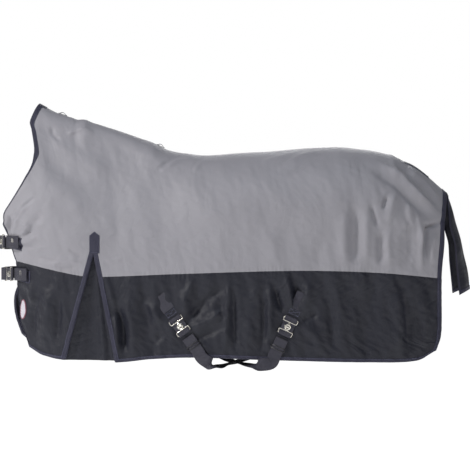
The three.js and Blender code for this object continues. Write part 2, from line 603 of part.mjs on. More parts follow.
// ---- the two chest fastenings, each across the gap between the front edges ----
const chestPlaces = { upper: -373 * gradeZ, lower: -505 * gradeZ };
const postAhead = 24; // of the front edges
const postInset = 37; // from the left front edge in towards the middle
const postOffset = postInset - chestGap / 2;
const closureLift = 8; // away from the chest
const patchLength = 62; // of the sewn patch behind each edge, seen from the side
const patchSlope = 0.2; // how far the patch drops for each millimetre towards the tail
for (const [name, z] of Object.entries(chestPlaces)) {
  const edge = chestEdgeX(z, -1);
  const post = new THREE.Vector3(edge - postAhead, postOffset, z);
  const leftEdge = clothAt(edge + bindingWidth / 2, z, -1);
  const out = leftEdge.out.clone().setZ(0).normalize();
  const along = new THREE.Vector3(out.y, -out.x, 0); // from the left edge towards the right one
  const loopBar = post.clone().addScaledVector(along, postAt).addScaledVector(out, closureLift);
  const local = axes(loopBar, loopBar.clone().sub(along), out);
  const onStrap = (x, y, height) => new THREE.Vector3(x, y, height).applyMatrix4(local);
  const patchCorners = [
    [bindingWidth + panelGap, -1], [patchLength, -1], [patchLength, 1], [bindingWidth + panelGap, 1],
  ];
  const patch = (at, side) => {
    const binding = side < 0 ? frontTape(-2, 0) : frontTape(0, 2);
    const outline = patchCorners.map(([x, up]) =>
      [at + x, z + (up * webbingWidth) / 2 - x * patchSlope]);
    return wholeTape.intersect(prism(outline, side))
      .subtract(binding).subtract(binding.translate(panelGap, 0, 0));
  };
  add(`left_${name}_chest_patch`, patch(edge, -1), navyTape);
  add(`right_${name}_chest_patch`, patch(chestEdgeX(z, 1), 1), navyTape);

  // The left strap runs straight back from its ring, over the edge, and lies on its patch.
  const webbingTop = 2 * tapeGap + tapeThickness + webbingThickness;
  const overCloth = (x, side, height) => {
    const { point, out: normal } = clothAt(x, z, side);
    return point.addScaledVector(normal, height);
  };
  const strapMid = (strapTop + strapBottom) / 2;
  const left = [
    onStrap(ringBars[1] + 12, 0, strapMid), onStrap(ringBars[1] + foldedLength - 5, 0, strapMid),
    overCloth(edge + 30, -1, webbingTop + 10), overCloth(edge + 54, -1, webbingTop + 7),
  ];
  const upright = (count) => Array.from({ length: count }, () => new THREE.Vector3(0, 0, 1));
  add(`left_${name}_chest_strap`,
    ribbon(left, upright(left.length)).add(moved(webbingLoop(ringBars[1], ringLow, 1), local)), navyTape);
  add(`${name}_chest_ring`, moved(ringPlate(), local), nickel);

  // The right strap turns round the front of the chest to the right edge.
  const rightEdge = chestEdgeX(z, 1);
  const route = new THREE.CatmullRomCurve3([
    onStrap(-foldedLength / 2, 0, hookLow - barClearance - webbingThickness / 2),
    onStrap(-foldedLength, 0, hookLow - barClearance - webbingThickness / 2),
    overCloth(rightEdge, 1, 34), overCloth(rightEdge + 24, 1, 18),
    overCloth(rightEdge + 56, 1, webbingTop + 8),
  ], false, "centripetal");
  const right = route.getPoints(12);
  add(`right_${name}_chest_strap`,
    ribbon(right, upright(right.length)).add(moved(webbingLoop(0, hookLow, -1), local)), navyTape);
  add(`${name}_chest_hook`, moved(hookPlate(), local), nickel);
}

// ---- the spine: two webbing loops and the patch over the tail head ----
const loopLength = 36;
const loopHeight = 14;
const loopWidth = 20;
const loopPlaces = {
  front_crest_loop: { place: -440, clear: 0.056 },
  withers_loop: { place: -40, clear: 0.162 },
};
function spineFacet(u) {
  const columns = [...gridU].sort((a, b) => a - b);
  const next = columns.findIndex((column) => column > u);
  const [from, to] = [columns[next - 1], columns[next]];
  return rugPoint(from, 0).lerp(rugPoint(to, 0), (u - from) / (to - from));
}
for (const [name, { place, clear }] of Object.entries(loopPlaces)) {
  const u = (place * gradeX - spineEnds[0]) / spineLength;
  const local = axes(rugPoint(u, 0), rugPoint(u + 0.01, 0), rugNormal(u, 0));
  const half = loopLength / 2;
  const rise = (end) => spineFacet(u + (end * half) / spineLength).sub(rugPoint(u, 0)).dot(rugNormal(u, 0));
  const base = Math.max(rise(-1), rise(1)) + clear;
  const sole = base + webbingThickness;
  const footAndTop = [[half, base], [half, sole], [half * 0.62, sole], [half * 0.35, loopHeight]];
  const opening = [[half * 0.4, sole + 0.6], [half * 0.22, loopHeight - webbingThickness]];
  const mirrored = (points) => [...points, ...points.map(([x, z]) => [-x, z]).reverse()];
  const outline = (points) => mirrored(points).map(([x, z]) => new THREE.Vector2(x, z));
  const shape = new THREE.Shape(outline(footAndTop));
  const hole = new THREE.Path(outline(opening));
  shape.holes.push(hole);
  const geometry = new THREE.ExtrudeGeometry(shape, { depth: loopWidth, bevelEnabled: false });
  geometry.rotateX(Math.PI / 2).translate(0, loopWidth / 2, 0);
  add(name, moved(solidOf(geometry), local), greyCloth);
}
const tailPatch = { from: 958 * gradeX, to: 1058 * gradeX, half: 58 };
const tailPatchBox = solidOf(new THREE.BoxGeometry(tailPatch.to - tailPatch.from, 2 * tailPatch.half, 800)
  .translate((tailPatch.from + tailPatch.to) / 2, 0, 0));
add("tail_head_patch", wholeTape.intersect(tailPatchBox), navyTape);

// ---- the tail flap, hung from the rear edge over the tail head ----
const flapHalf = { top: 88, bottom: 108 };
const flapThickness = 3;
const flapEnds = { middle: -566 * gradeZ, edge: -588 * gradeZ };
const flapMiddleX = upBody([
  [-572, 1224], [-551, 1222], [-459, 1208], [-309, 1173], [-232, 1153], [-170, 1130],
]);
const flapEdgeX = upBody([[-588, 1172], [-458, 1158], [-379, 1152], [-310, 1134], [-200, 1131]]);
const flapTopV = 0.17; // the share of the upper row that the flap's top covers
function flapPoint(down, across) {
  const top = rugPoint(1, Math.abs(across) * flapTopV);
  const bottom = lerp(flapEnds.middle, flapEnds.edge, across ** 2);
  const z = lerp(top.z - 1, bottom, down);
  const half = lerp(flapHalf.top, flapHalf.bottom, down);
  const turn = (across * Math.PI) / 2;
  const x = lerp(flapEdgeX(z), flapMiddleX(z), Math.cos(turn));
  const sewnY = Math.sign(across) * Math.abs(top.y);
  const y = lerp(sewnY, half * Math.sin(turn), smooth(share(down, 0, 0.3)));
  return new THREE.Vector3(Math.max(x, top.x + 3), y, z);
}
function flapNormal(down, across) {
  const step = 0.01;
  const above = flapPoint(Math.max(0, down - step), across);
  const left = flapPoint(down, Math.max(-1, across - step));
  const alongDown = flapPoint(Math.min(1, down + step), across).sub(above);
  const alongSide = flapPoint(down, Math.min(1, across + step)).sub(left);
  return alongDown.cross(alongSide).normalize();
}
const flapRows = [0, 0.12, 0.25, 0.45, 0.65, 0.85, 0.97, 1];
const flapColumns = [-1, -0.87, -0.6, -0.3, 0, 0.3, 0.6, 0.87, 1];
function flapLayer(high, low, rows = flapRows, columns = flapColumns) {
  const lifted = (row, column, height) =>
    flapPoint(row, column).addScaledVector(flapNormal(row, column), height);
  const face = (height) => rows.map((row) => columns.map((column) => lifted(row, column, height)));
  return sheetSolid(face(high), face(low));
}
const flapCore = flapLayer(tapeTop + 5, -5, flapRows.slice(0, -1), flapColumns.slice(1, -1));
add("tail_flap", flapLayer(0, -flapThickness), navyCloth);
add("tail_flap_binding", flapLayer(tapeTop, tapeGap).subtract(flapCore), navyTape);

rug.position.z = stack;
export default rug;
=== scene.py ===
# A turnout rug as it hangs on a horse. The cloth is drawn by the same side-view pattern as the solid
# parts, in millimetres, and is turned into the frame's metres at the last step.
import math

import bmesh
import bpy
import numpy as np
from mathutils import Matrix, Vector


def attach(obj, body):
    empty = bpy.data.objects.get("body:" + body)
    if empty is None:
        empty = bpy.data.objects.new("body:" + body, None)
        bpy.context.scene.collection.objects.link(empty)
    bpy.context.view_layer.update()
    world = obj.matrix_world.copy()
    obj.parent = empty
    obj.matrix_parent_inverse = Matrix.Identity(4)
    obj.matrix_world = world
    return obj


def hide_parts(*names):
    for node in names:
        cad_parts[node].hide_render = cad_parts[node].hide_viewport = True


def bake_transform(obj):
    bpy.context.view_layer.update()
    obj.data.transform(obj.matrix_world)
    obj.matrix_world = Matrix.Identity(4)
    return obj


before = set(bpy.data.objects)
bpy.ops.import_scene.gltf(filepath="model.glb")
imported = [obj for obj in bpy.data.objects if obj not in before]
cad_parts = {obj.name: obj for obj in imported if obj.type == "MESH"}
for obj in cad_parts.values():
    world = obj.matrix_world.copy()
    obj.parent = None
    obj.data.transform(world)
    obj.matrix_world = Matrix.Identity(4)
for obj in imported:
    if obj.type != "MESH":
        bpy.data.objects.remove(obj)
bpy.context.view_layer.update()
print("loaded", len(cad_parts), "solids")

rise = 8.4  # from the pattern's origin, on the cloth's face, down to the rug's underside


# ---- the pattern ----
def through(pairs):
    xs = np.array([p[0] for p in pairs], float)
    ys = np.array([p[1] for p in pairs], float)
    last = len(pairs) - 1
    before = np.maximum(np.arange(last + 1) - 1, 0)
    after = np.minimum(np.arange(last + 1) + 1, last)
    slopes = (ys[after] - ys[before]) / (xs[after] - xs[before])

    def at(x):
        x = np.asarray(x, float)
        i = np.clip(np.searchsorted(xs, x, side="right") - 1, 0, last - 1)
        span = xs[i + 1] - xs[i]
        k = np.clip((x - xs[i]) / span, 0, 1)
        ease = k * k * (3 - 2 * k)
        value = ys[i] * (1 - ease) + ys[i + 1] * ease
        value = value + k * (1 - k) ** 2 * span * slopes[i] - k * k * (1 - k) * span * slopes[i + 1]
        value = np.where(x < xs[0], ys[0] + slopes[0] * (x - xs[0]), value)
        return np.where(x > xs[-1], ys[-1] + slopes[-1] * (x - xs[-1]), value)

    return at


spineZ = through([
    [-533, 191], [-451, 150], [-287, 105], [-102, 43], [0, 0], [82, -14], [164, -22], [266, -12],
    [410, -4], [600, 11], [738, 9], [881, -14], [1004, -68], [1127, -170]])
seamZ = through([
    [-618, -452], [-541, -469], [-346, -509], [-251, -512], [50, -500], [522, -487], [838, -496], [1086, -519]])
hemZ = through([
    [-564, -798], [-498, -829], [-403, -842], [-206, -849], [-68, -835], [101, -827], [385, -835],
    [857, -846], [995, -839], [1062, -804]])
neckline = through([
    [-330, -700], [-282, -676], [-258, -671], [-209, -638], [-161, -606], [-112, -578], [-64, -554],
    [-15, -545], [9, -545], [82, -558], [112, -565], [154, -550], [191, -533]])
cutLeft = through([[-798, -564], [-743, -580], [-600, -640], [-400, -720]])
cutRight = through([[-790, -576], [-755, -616], [-724, -636], [-600, -680], [-400, -740]])
chestLine = through([
    [-843, -575], [-713, -596], [-610, -612], [-533, -616], [-464, -622], [-383, -648], [-282, -673],
     [-200, -690]])
rearEdge = through([
    [-804, 1062], [-764, 1078], [-701, 1086], [-520, 1086], [-386, 1098], [-311, 1101], [-170, 1127]])
ribWidth = through([
    [-533, 205], [-272, 235], [-26, 268], [301, 300], [546, 305], [792, 292], [955, 262], [1127, 200]])
sideDrop = 843
noseDepth = 300
chestBulge = 40
spineEnds = (-533, 1127)
seamEnds = (-620, 1086)
hemRear = 1062


def share(value, low, high):
    return np.clip((np.asarray(value, float) - low) / (high - low), 0, 1)


def smooth(k):
    return k * k * (3 - 2 * k)


def quarterRound(k):
    return np.sqrt(1 - (1 - np.clip(k, 0, 1)) ** 2)


def lerp(a, b, k):
    return a + (b - a) * k


def chestEdgeX(z, side):
    return chestLine(z) - np.where(side > 0, chestBulge * np.sin(np.pi * share(z, -860, -480)) ** 1.5, 0)


tipAhead = noseDepth * (1 - math.sqrt(1 - (75 / float(ribWidth(-533))) ** 2))


def halfWidth(x, z, side):
    below = np.maximum(0, spineZ(x) - z) / sideDrop
    barrel = quarterRound(below / 0.36)
    neck = 0.3 * quarterRound(below / 0.075) + 0.7 * smooth(share(below, 0, 0.6))
    dome = neck + (barrel - neck) * smooth(share(x, -300, 250))
    return ribWidth(x) * dome * quarterRound((x - (chestEdgeX(z, side) - tipAhead)) / noseDepth)


def frontX(z, side):
    cut = np.where(side > 0, cutRight(z), cutLeft(z))
    return np.maximum(np.maximum(chestEdgeX(z, side), neckline(z)), cut)


def easedStart(k, part):
    turn = part * np.pi / 2
    bend = np.maximum(turn / (turn + 1 - part), 1e-9)
    start = part * (1 - np.cos(np.pi * k / (2 * bend)))
    return np.where(k < bend, start, part + (1 - part) * (k - bend) / (1 - bend))


def rugBase(u, v):
    u, v = np.broadcast_arrays(np.asarray(u, float), np.asarray(v, float))
    side = np.where(v < 0, -1.0, 1.0)
    row = np.abs(v)
    along = easedStart(u, 0.18 * smooth(share(row, 0.45, 0.8)))
    upper = row <= 1
    down = np.where(upper, easedStart(np.minimum(row, 1), np.full(row.shape, 0.5)), row - 1)
    hemFront = np.where(side > 0, -576.0, -564.0)
    topFront = np.where(upper, spineEnds[0], seamEnds[0])
    topRear = np.where(upper, spineEnds[1], seamEnds[1])
    lowFront = np.where(upper, seamEnds[0], hemFront)
    lowRear = np.where(upper, seamEnds[1], hemRear)

    def topZ(x):
        return np.where(upper, spineZ(x), seamZ(x))

    def lowZ(x):
        return np.where(upper, seamZ(x), hemZ(x))

    xTop = lerp(topFront, topRear, along)
    xLow = lerp(lowFront, lowRear, along)
    z = lerp(topZ(xTop), lowZ(xLow), down)
    frontZ = lerp(topZ(topFront), lowZ(lowFront), down)
    rearZ = lerp(topZ(topRear), lowZ(lowRear), down)
    frontPull = frontX(frontZ, side) - lerp(frontX(topZ(topFront), side), frontX(lowZ(lowFront), side), down)
    rearPull = rearEdge(rearZ) - lerp(rearEdge(topZ(topRear)), rearEdge(lowZ(lowRear)), down)
    x = lerp(xTop, xLow, down) + (1 - along) * frontPull + along * rearPull
    y = np.where(row == 0, 0, side * halfWidth(x, z, side))
    return np.stack([x, y, z], -1)


def unit(a):
    return a / np.maximum(np.linalg.norm(a, axis=-1, keepdims=True), 1e-12)


def rugNormal(u, v, step=0.004):
    u, v = np.broadcast_arrays(np.asarray(u, float), np.asarray(v, float))
    alongU = rugBase(np.minimum(u + step, 1), v) - rugBase(np.maximum(u - step, 0), v)
    alongV = rugBase(u, np.minimum(v + step, 2)) - rugBase(u, np.maximum(v - step, -2))
    return unit(np.cross(alongU, alongV))


# ---- folds ----
# Each ridge is its crest in the side view, its half width and its height; a hollow has a height below 0.
apex = (-295, -419)
slitFront = (-411, -843)
slitRear = (-207, -849)
flapTop = (-650, -170)
sideRidges = [
    # the chest's top, drawn in by the upper strap
    ([(-648, -262), (-646, -345)], 9, -10),
    ([(-668, -285), (-664, -350)], 9, 6),
    ([(-558, -209), (-608, -265), (-629, -322), (-635, -365)], 11, 9),
    ([(-540, -200), (-585, -235), (-622, -290), (-632, -345)], 8, -7),
    ([(-600, -280), (-560, -310), (-590, -345), (-632, -362)], 9, 6),
    ([(-540, -330), (-590, -350), (-632, -366)], 8, -5),
    ([(-520, -360), (-580, -372), (-625, -376)], 10, 6),
    ([(-530, -400), (-590, -392), (-630, -384)], 8, -5),
    ([(-480, -395), (-560, -410), (-622, -394)], 9, 4),
    ([(-500, -260), (-540, -300), (-560, -350)], 20, -5),
    ([(-530, -456), (-470, -470), (-420, -468)], 14, 4),
    ([(-540, -430), (-480, -446), (-430, -450)], 10, -3),
    ([(-600, -520), (-560, -560), (-540, -640)], 16, 5),
    ([(-470, -540), (-480, -640), (-500, -760)], 22, 6),
    ([(-520, -560), (-545, -660), (-550, -760)], 14, -5),
    ([(-430, -560), (-440, -680), (-455, -800)], 14, -4),
    # the neck
    ([(-500, 60), (-420, 0), (-330, -60), (-200, -110)], 34, 5),
    ([(-520, -20), (-440, -80), (-330, -150)], 30, -4),
    ([(-480, -130), (-400, -190), (-340, -280)], 36, 5),
    ([(-380, 92), (-345, 84), (-300, 60)], 14, 5),
    ([(-300, 80), (-230, 40), (-150, -20)], 24, -3),
    ([(-100, 20), (-60, -40), (0, -90)], 26, 3),
    # behind the slit
    ([(-238, -520), (-205, -650), (-196, -840)], 12, 7),
    ([(-222, -600), (-178, -700), (-170, -820)], 17, -12),
    ([(-170, -560), (-140, -690), (-130, -830)], 20, 6),
    ([(-90, -540), (-80, -700), (-90, -830)], 24, -6),
    # towards the front hook
    ([(60, -700), (110, -650), (176, -583), (230, -540)], 17, -8),
    ([(30, -690), (60, -640), (90, -560), (100, -500)], 20, 7),
    ([(0, -690), (-20, -620), (-30, -540)], 18, -5),
    ([(-10, -700), (-60, -640), (-100, -600)], 20, 6),
    ([(80, -720), (150, -690), (230, -640)], 16, 7),
    ([(100, -760), (170, -730), (230, -700)], 14, -5),
    ([(-10, -720), (-50, -770), (-60, -835)], 18, -5),
    # between the hooks
    ([(239, -520), (235, -660), (228, -820)], 15, 7),
    ([(262, -540), (262, -680), (270, -820)], 12, -6),
    ([(330, -530), (330, -660), (322, -815)], 22, 5),
    ([(373, -560), (380, -680), (372, -820)], 12, -7),
    ([(400, -520), (405, -640), (400, -760)], 14, 7),
    ([(422, -545), (440, -620), (470, -665)], 11, -7),
    ([(470, -500), (482, -580), (488, -660)], 13, 8),
    ([(507, -540), (505, -600), (498, -660)], 10, -6),
    ([(560, -520), (545, -600), (515, -670)], 17, 6),
    ([(600, -640), (560, -670), (520, -685)], 16, -5),
    ([(530, -700), (580, -740), (610, -820)], 20, 6),
    ([(640, -540), (650, -680), (660, -835)], 22, -5),
    # the flank
    ([(670, -530), (676, -680), (670, -835)], 26, 6),
    ([(785, -530), (790, -690), (785, -840)], 46, -8),
    ([(905, -540), (915, -690), (905, -840)], 26, 7),
    ([(930, -560), (950, -700), (945, -835)], 18, -6),
    ([(1000, -560), (1020, -700), (1010, -820)], 20, 6),
    # the rump, over to the tail head
    ([(820, -41), (930, -109), (1008, -199), (1085, -267)], 15, 9),
    ([(800, -75), (900, -140), (975, -215), (1050, -290)], 18, -7),
    ([(943, -51), (1040, -141), (1095, -223)], 13, 8),
    ([(920, -70), (1010, -160), (1080, -240)], 9, -6),
    ([(1097, -292), (1030, -312), (1018, -380), (1020, -450)], 9, -11),
    ([(1060, -330), (1046, -400), (1044, -470)], 13, 8),
    ([(1005, -300), (1000, -390), (1004, -500)], 12, 7),
    ([(868, -190), (858, -218), (850, -248)], 8, -7),
    ([(905, -175), (880, -240), (868, -300)], 14, 5),
    ([(742, -215), (738, -300), (734, -400), (738, -475)], 25, -11),
    ([(700, -230), (694, -340), (698, -470)], 22, 6),
    ([(784, -250), (780, -350), (784, -465)], 18, 6),
    ([(801, -220), (812, -265), (828, -318)], 9, -7),
    ([(842, -320), (838, -390), (842, -470)], 15, -8),
    ([(872, -310), (868, -390), (874, -480)], 14, 5),
    ([(930, -230), (952, -300), (960, -400), (948, -480)], 12, -5),
    ([(985, -240), (1000, -330), (1010, -420)], 10, 4),
    ([(600, 0), (530, -28), (450, -78)], 10, 5),
    ([(640, -18), (560, -52), (470, -110)], 12, -4),
    ([(520, -10), (440, -34), (360, -60)], 9, 4),
    ([(95, -30), (40, -46), (-20, -84)], 9, 5),
    ([(60, -22), (10, -40), (-50, -90)], 8, -4),
    ([(180, -40), (130, -56), (95, -100)], 10, 4),
    ([(-420, 60), (-380, 78), (-330, 86)], 7, 5),
    ([(-480, 100), (-470, 60), (-440, 30)], 9, -4),
    ([(-350, -452), (-400, -446), (-450, -430)], 8, 4),
    ([(-340, -470), (-420, -482), (-500, -470)], 8, -4),
    ([(-330, -430), (-360, -424), (-400, -400)], 7, -3),
    ([(-262, -440), (-220, -450), (-170, -440)], 8, 3),
    ([(940, -330), (930, -410), (935, -490)], 20, -5),
    ([(960, -210), (950, -280), (945, -340)], 14, 4),
    # along the barrel
    ([(560, -60), (640, -150), (700, -280)], 40, 4),
    ([(300, -110), (420, -180), (520, -300)], 46, 3),
    ([(60, -90), (140, -200), (180, -330)], 44, 4),
    ([(-140, -120), (-90, -240), (-70, -380)], 40, 4),
    ([(-230, -180), (-200, -300), (-190, -420)], 30, -3),
    ([(400, -330), (420, -400), (430, -480)], 26, 3),
    ([(620, -340), (600, -410), (605, -480)], 24, -3),
]
overTop = [
    # folds that cross the ridge line alike on both sides: x at the spine, half width and height
    (-345, 20, 5), (-380, 12, -3), (-70, 26, 3), (180, 40, 2), (690, 34, 2), (905, 16, 4), (960, 14, -3),
]


def ridgeField(x, z, ridges):
    total = np.zeros(x.shape)
    for points, wide, high in ridges:
        line = np.array(points, float)
        reach = 3 * wide
        near = (x > line[:, 0].min() - reach) & (x < line[:, 0].max() + reach)
        near &= (z > line[:, 1].min() - reach) & (z < line[:, 1].max() + reach)
        if not near.any():
            continue
        at = np.stack([x[near], z[near]], -1)
        lengths = np.hypot(*(line[1:] - line[:-1]).T)
        starts = np.concatenate([[0], np.cumsum(lengths)])
        best = np.full(len(at), 1e9)
        place = np.zeros(len(at))
        for i in range(len(lengths)):
            way = (line[i + 1] - line[i]) / lengths[i]
            along = np.clip((at - line[i]) @ way, 0, lengths[i])
            off = np.hypot(*(at - line[i] - along[:, None] * way).T)
            closer = off < best
            best = np.where(closer, off, best)
            place = np.where(closer, (starts[i] + along) / starts[-1], place)
        taper = smooth(np.clip(place / 0.3, 0, 1)) * smooth(np.clip((1 - place) / 0.3, 0, 1)) * 0.85 + 0.15
        total[near] += high * np.exp(-((best / wide) ** 2)) * taper
    return total


def waveField(x, z, seed, count, shortest, longest, lean, spread):
    draw = np.random.default_rng(seed)
    total = np.zeros(x.shape)
    for _ in range(count):
        length = draw.uniform(shortest, longest)
        heading = lean + draw.normal(0, spread)
        phase = draw.uniform(0, 2 * np.pi)
        bend = 0.5 * np.sin((x * 0.6 + z) / draw.uniform(120, 260) + draw.uniform(0, 6))
        total += np.sin(2 * np.pi * (x * math.cos(heading) + z * math.sin(heading)) / length + phase + bend)
    return total / math.sqrt(count)


def foldsAt(x, z, side):
    x, z, side = np.broadcast_arrays(np.asarray(x, float), np.asarray(z, float), np.asarray(side, float))
    total = np.zeros(x.shape)
    below = share(spineZ(x) - z, 0, 90)
    lower = smooth(share(seamZ(x) - z, -20, 40))
    for way, seed in ((-1, 5), (1, 23)):
        there = side == way
        if not there.any():
            continue
        px, pz = x[there], z[there]
        shift = 0 if way < 0 else 9
        folds = ridgeField(px + shift, pz, sideRidges)
        soft = waveField(px, pz, seed, 9, 120, 260, 0.5, 0.9) * 1.5
        hanging = waveField(px, pz, seed + 1, 8, 55, 130, 0.05, 0.22) * lerp(0.9, 3.0, lower[there])
        small = waveField(px, pz, seed + 2, 10, 24, 48, 0.4, 0.9) * lerp(0.4, 0.8, lower[there])
        total[there] = below[there] * (folds * lerp(1.7, 2.0, lower[there]) + soft + hanging + small)
    for place, wide, high in overTop:
        near = 1 - smooth(share(spineZ(x) - z, 20, 170))
        total += near * high * np.exp(-(((x - place) / wide) ** 2))
    # puckers along the colour seam
    fromSeam = z - seamZ(x)
    pucker = np.sin(x / 2.6 + 1.9 * np.sin(x / 31)) * (0.6 + 0.4 * np.sin(x / 57 + 1))
    total += 1.5 * pucker * np.exp(-np.abs(fromSeam) / 15)
    total -= 1.6 * np.exp(-((fromSeam / 5) ** 2))
    return total


def keepFlat(x, z, side, folds):
    # the cloth stays flat where the webbing is sewn on
    for cx, cz, radius in ((25, -660, 46), (492, -660, 46)):
        flat = np.exp(-(((x - cx) ** 2 + (z - cz) ** 2) / radius**2) ** 2)
        folds = folds * (1 - 0.85 * flat)
    edge = chestEdgeX(z, side)
    for cz in (-373, -505):
        flat = np.exp(-(((x - edge - 20) / 44) ** 2 + ((z - cz) / 34) ** 2))
        folds = folds * (1 - 0.8 * flat)
    return folds


def onCloth(base, normal, side, height):
    folds = keepFlat(base[..., 0], base[..., 2], side, foldsAt(base[..., 0], base[..., 2], side))
    return base + normal * (folds + height)[..., None]


def byUv(u, v, height=0.0):
    u, v = np.broadcast_arrays(np.asarray(u, float), np.asarray(v, float))
    return onCloth(rugBase(u, v), rugNormal(u, v), np.where(v < 0, -1.0, 1.0), height)


def clothAt(x, z, side, step=5.0):
    x, z = np.broadcast_arrays(np.asarray(x, float), np.asarray(z, float))
    slopeX = (halfWidth(x + step, z, side) - halfWidth(x - step, z, side)) / (2 * step)
    slopeZ = (halfWidth(x, z + step, side) - halfWidth(x, z - step, side)) / (2 * step)
    point = np.stack([x, side * halfWidth(x, z, side), z], -1)
    return point, unit(np.stack([-slopeX, np.full(x.shape, float(side)), -slopeZ], -1))


def byXz(x, z, side, height=0.0):
    base, normal = clothAt(x, z, side)
    return onCloth(base, normal, np.full(base.shape[:-1], float(side)), height)


# ---- materials ----
def linear(hexColour):
    channels = [int(hexColour[i : i + 2], 16) / 255 for i in (1, 3, 5)]
    return (*[c / 12.92 if c <= 0.04045 else ((c + 0.055) / 1.055) ** 2.4 for c in channels], 1)


def add(tree, kind, settings=None, **links):
    made = tree.nodes.new(kind)
    for key, value in (settings or {}).items():
        if isinstance(key, str) and key in made.inputs:
            made.inputs[key].default_value = value
        elif isinstance(key, int):
            made.inputs[key].default_value = value
        else:
            setattr(made, key, value)
    for key, source in links.items():
        target = made.inputs[int(key[1:])] if key[0] == "i" and key[1:].isdigit() else made.inputs[key]
        tree.links.new(source, target)
    return made


def maths(tree, operation, a, b=None):
    made = tree.nodes.new("ShaderNodeMath")
    made.operation = operation
    for index, value in enumerate((a, b)):
        if value is None:
            continue
        if isinstance(value, (int, float)):
            made.inputs[index].default_value = value
        else:
            tree.links.new(value, made.inputs[index])
    return made.outputs[0]


def noiseOver(tree, place, scale, detail, **settings):
    settings = {"Scale": scale, "Detail": detail, **settings}
    return add(tree, "ShaderNodeTexNoise", settings, Vector=place).outputs[0]


def bumpOver(tree, height, depth, under=None, strength=1.0):
    below = {} if under is None else {"Normal": under}
    settings = {"Strength": strength, "Distance": depth}
    return add(tree, "ShaderNodeBump", settings, Height=height, **below).outputs[0]


def ranged(tree, value, low, high, **span):
    settings = {"To Min": low, "To Max": high, **span}
    return add(tree, "ShaderNodeMapRange", settings, Value=value).outputs[0]


middleNoise = {"From Min": 0.3, "From Max": 0.7}  # where most of a noise texture's values lie


def startMaterial(name):
    material = bpy.data.materials.new(name)
    material.use_nodes = True
    tree = material.node_tree
    tree.nodes.clear()
    return material, tree


def endMaterial(tree, settings, colour, bump, roughness=None):
    shader = add(tree, "ShaderNodeBsdfPrincipled", settings)
    tree.links.new(colour, shader.inputs["Base Color"])
    if bump is not None:
        tree.links.new(bump, shader.inputs["Normal"])
    if roughness is not None:
        tree.links.new(roughness, shader.inputs["Roughness"])
    out = tree.nodes.new("ShaderNodeOutputMaterial")
    tree.links.new(shader.outputs[0], out.inputs[0])


def flatPlace(tree):
    found = add(tree, "ShaderNodeAttribute", {"attribute_name": "flat"})
    parts = add(tree, "ShaderNodeSeparateXYZ", i0=found.outputs["Vector"])
    return found.outputs["Vector"], parts.outputs[0], parts.outputs[1]


def ripstop(name, colour, look):
    material, tree = startMaterial(name)
    place, along, down = flatPlace(tree)
    ridges = []
    for way in (along, down):
        cell = maths(tree, "PINGPONG", way, look["cell"] / 2)
        ridges.append(maths(tree, "LESS_THAN", cell, look["thread"]))
    grid = maths(tree, "MAXIMUM", *ridges)
    weaveA = maths(tree, "SINE", maths(tree, "MULTIPLY", along, 2 * math.pi / look["weave"]))
    weaveB = maths(tree, "SINE", maths(tree, "MULTIPLY", down, 2 * math.pi / look["weave"]))
    weave = maths(tree, "MULTIPLY", weaveA, weaveB)
    crumple = noiseOver(tree, place, look["crumple"], 4.0, Roughness=0.55, Distortion=0.6)
    stretch = add(tree, "ShaderNodeMapping", {3: (1.0, 0.35, 1.0)}, Vector=place)
    soft = noiseOver(tree, stretch.outputs[0], look["soft"], 3.0, Roughness=0.5, Distortion=1.2)
    bump = bumpOver(tree, soft, look["softDepth"])
    bump = bumpOver(tree, crumple, look["crumpleDepth"], bump)
    fine = maths(tree, "ADD", maths(tree, "MULTIPLY", grid, 0.8), maths(tree, "MULTIPLY", weave, 0.35))
    bump = bumpOver(tree, fine, look["fineDepth"], bump)
    tone = ranged(tree, noiseOver(tree, place, 2.2, 2.0), look["toneLow"], look["toneHigh"], **middleNoise)
    lit = maths(tree, "ADD", tone, maths(tree, "MULTIPLY", grid, look["gridTone"]))
    mixed = add(tree, "ShaderNodeVectorMath", {"operation": "SCALE", 0: linear(colour)[:3]}, Scale=lit)
    rough = maths(tree, "ADD", maths(tree, "MULTIPLY", crumple, 0.1), look["roughness"])
    endMaterial(tree, look["shader"], mixed.outputs[0], bump, rough)
    return material


def ribbed(name, colour, look):
    material, tree = startMaterial(name)
    place, along, across = flatPlace(tree)
    rib = maths(tree, "SINE", maths(tree, "MULTIPLY", across, 2 * math.pi / look["rib"]))
    pick = maths(tree, "SINE", maths(tree, "MULTIPLY", along, 2 * math.pi / look["pick"]))
    crossed = maths(tree, "MULTIPLY", rib, pick)
    height = maths(tree, "ADD", crossed, maths(tree, "MULTIPLY", rib, 0.4))
    wear = noiseOver(tree, place, 70.0, 4.0)
    bump = bumpOver(tree, height, look["depth"], bumpOver(tree, wear, look["wearDepth"]))
    worn = maths(tree, "ADD", maths(tree, "MULTIPLY", wear, 0.2), 0.85)
    tone = maths(tree, "ADD", maths(tree, "MULTIPLY", crossed, 0.12), worn)
    mixed = add(tree, "ShaderNodeVectorMath", {"operation": "SCALE", 0: linear(colour)[:3]}, Scale=tone)
    endMaterial(tree, look["shader"], mixed.outputs[0], bump)
    return material


def plated(name, colour, roughness):
    material, tree = startMaterial(name)
    where = add(tree, "ShaderNodeTexCoord")
    noise = noiseOver(tree, where.outputs["Object"], 260.0, 3.0)
    bump = bumpOver(tree, noise, 0.00012, strength=0.4)
    rough = ranged(tree, noise, roughness - 0.06, roughness + 0.08, **middleNoise)
    tint = add(tree, "ShaderNodeRGB")
    tint.outputs[0].default_value = linear(colour)
    endMaterial(tree, {"Metallic": 1.0}, tint.outputs[0], bump, rough)
    return material


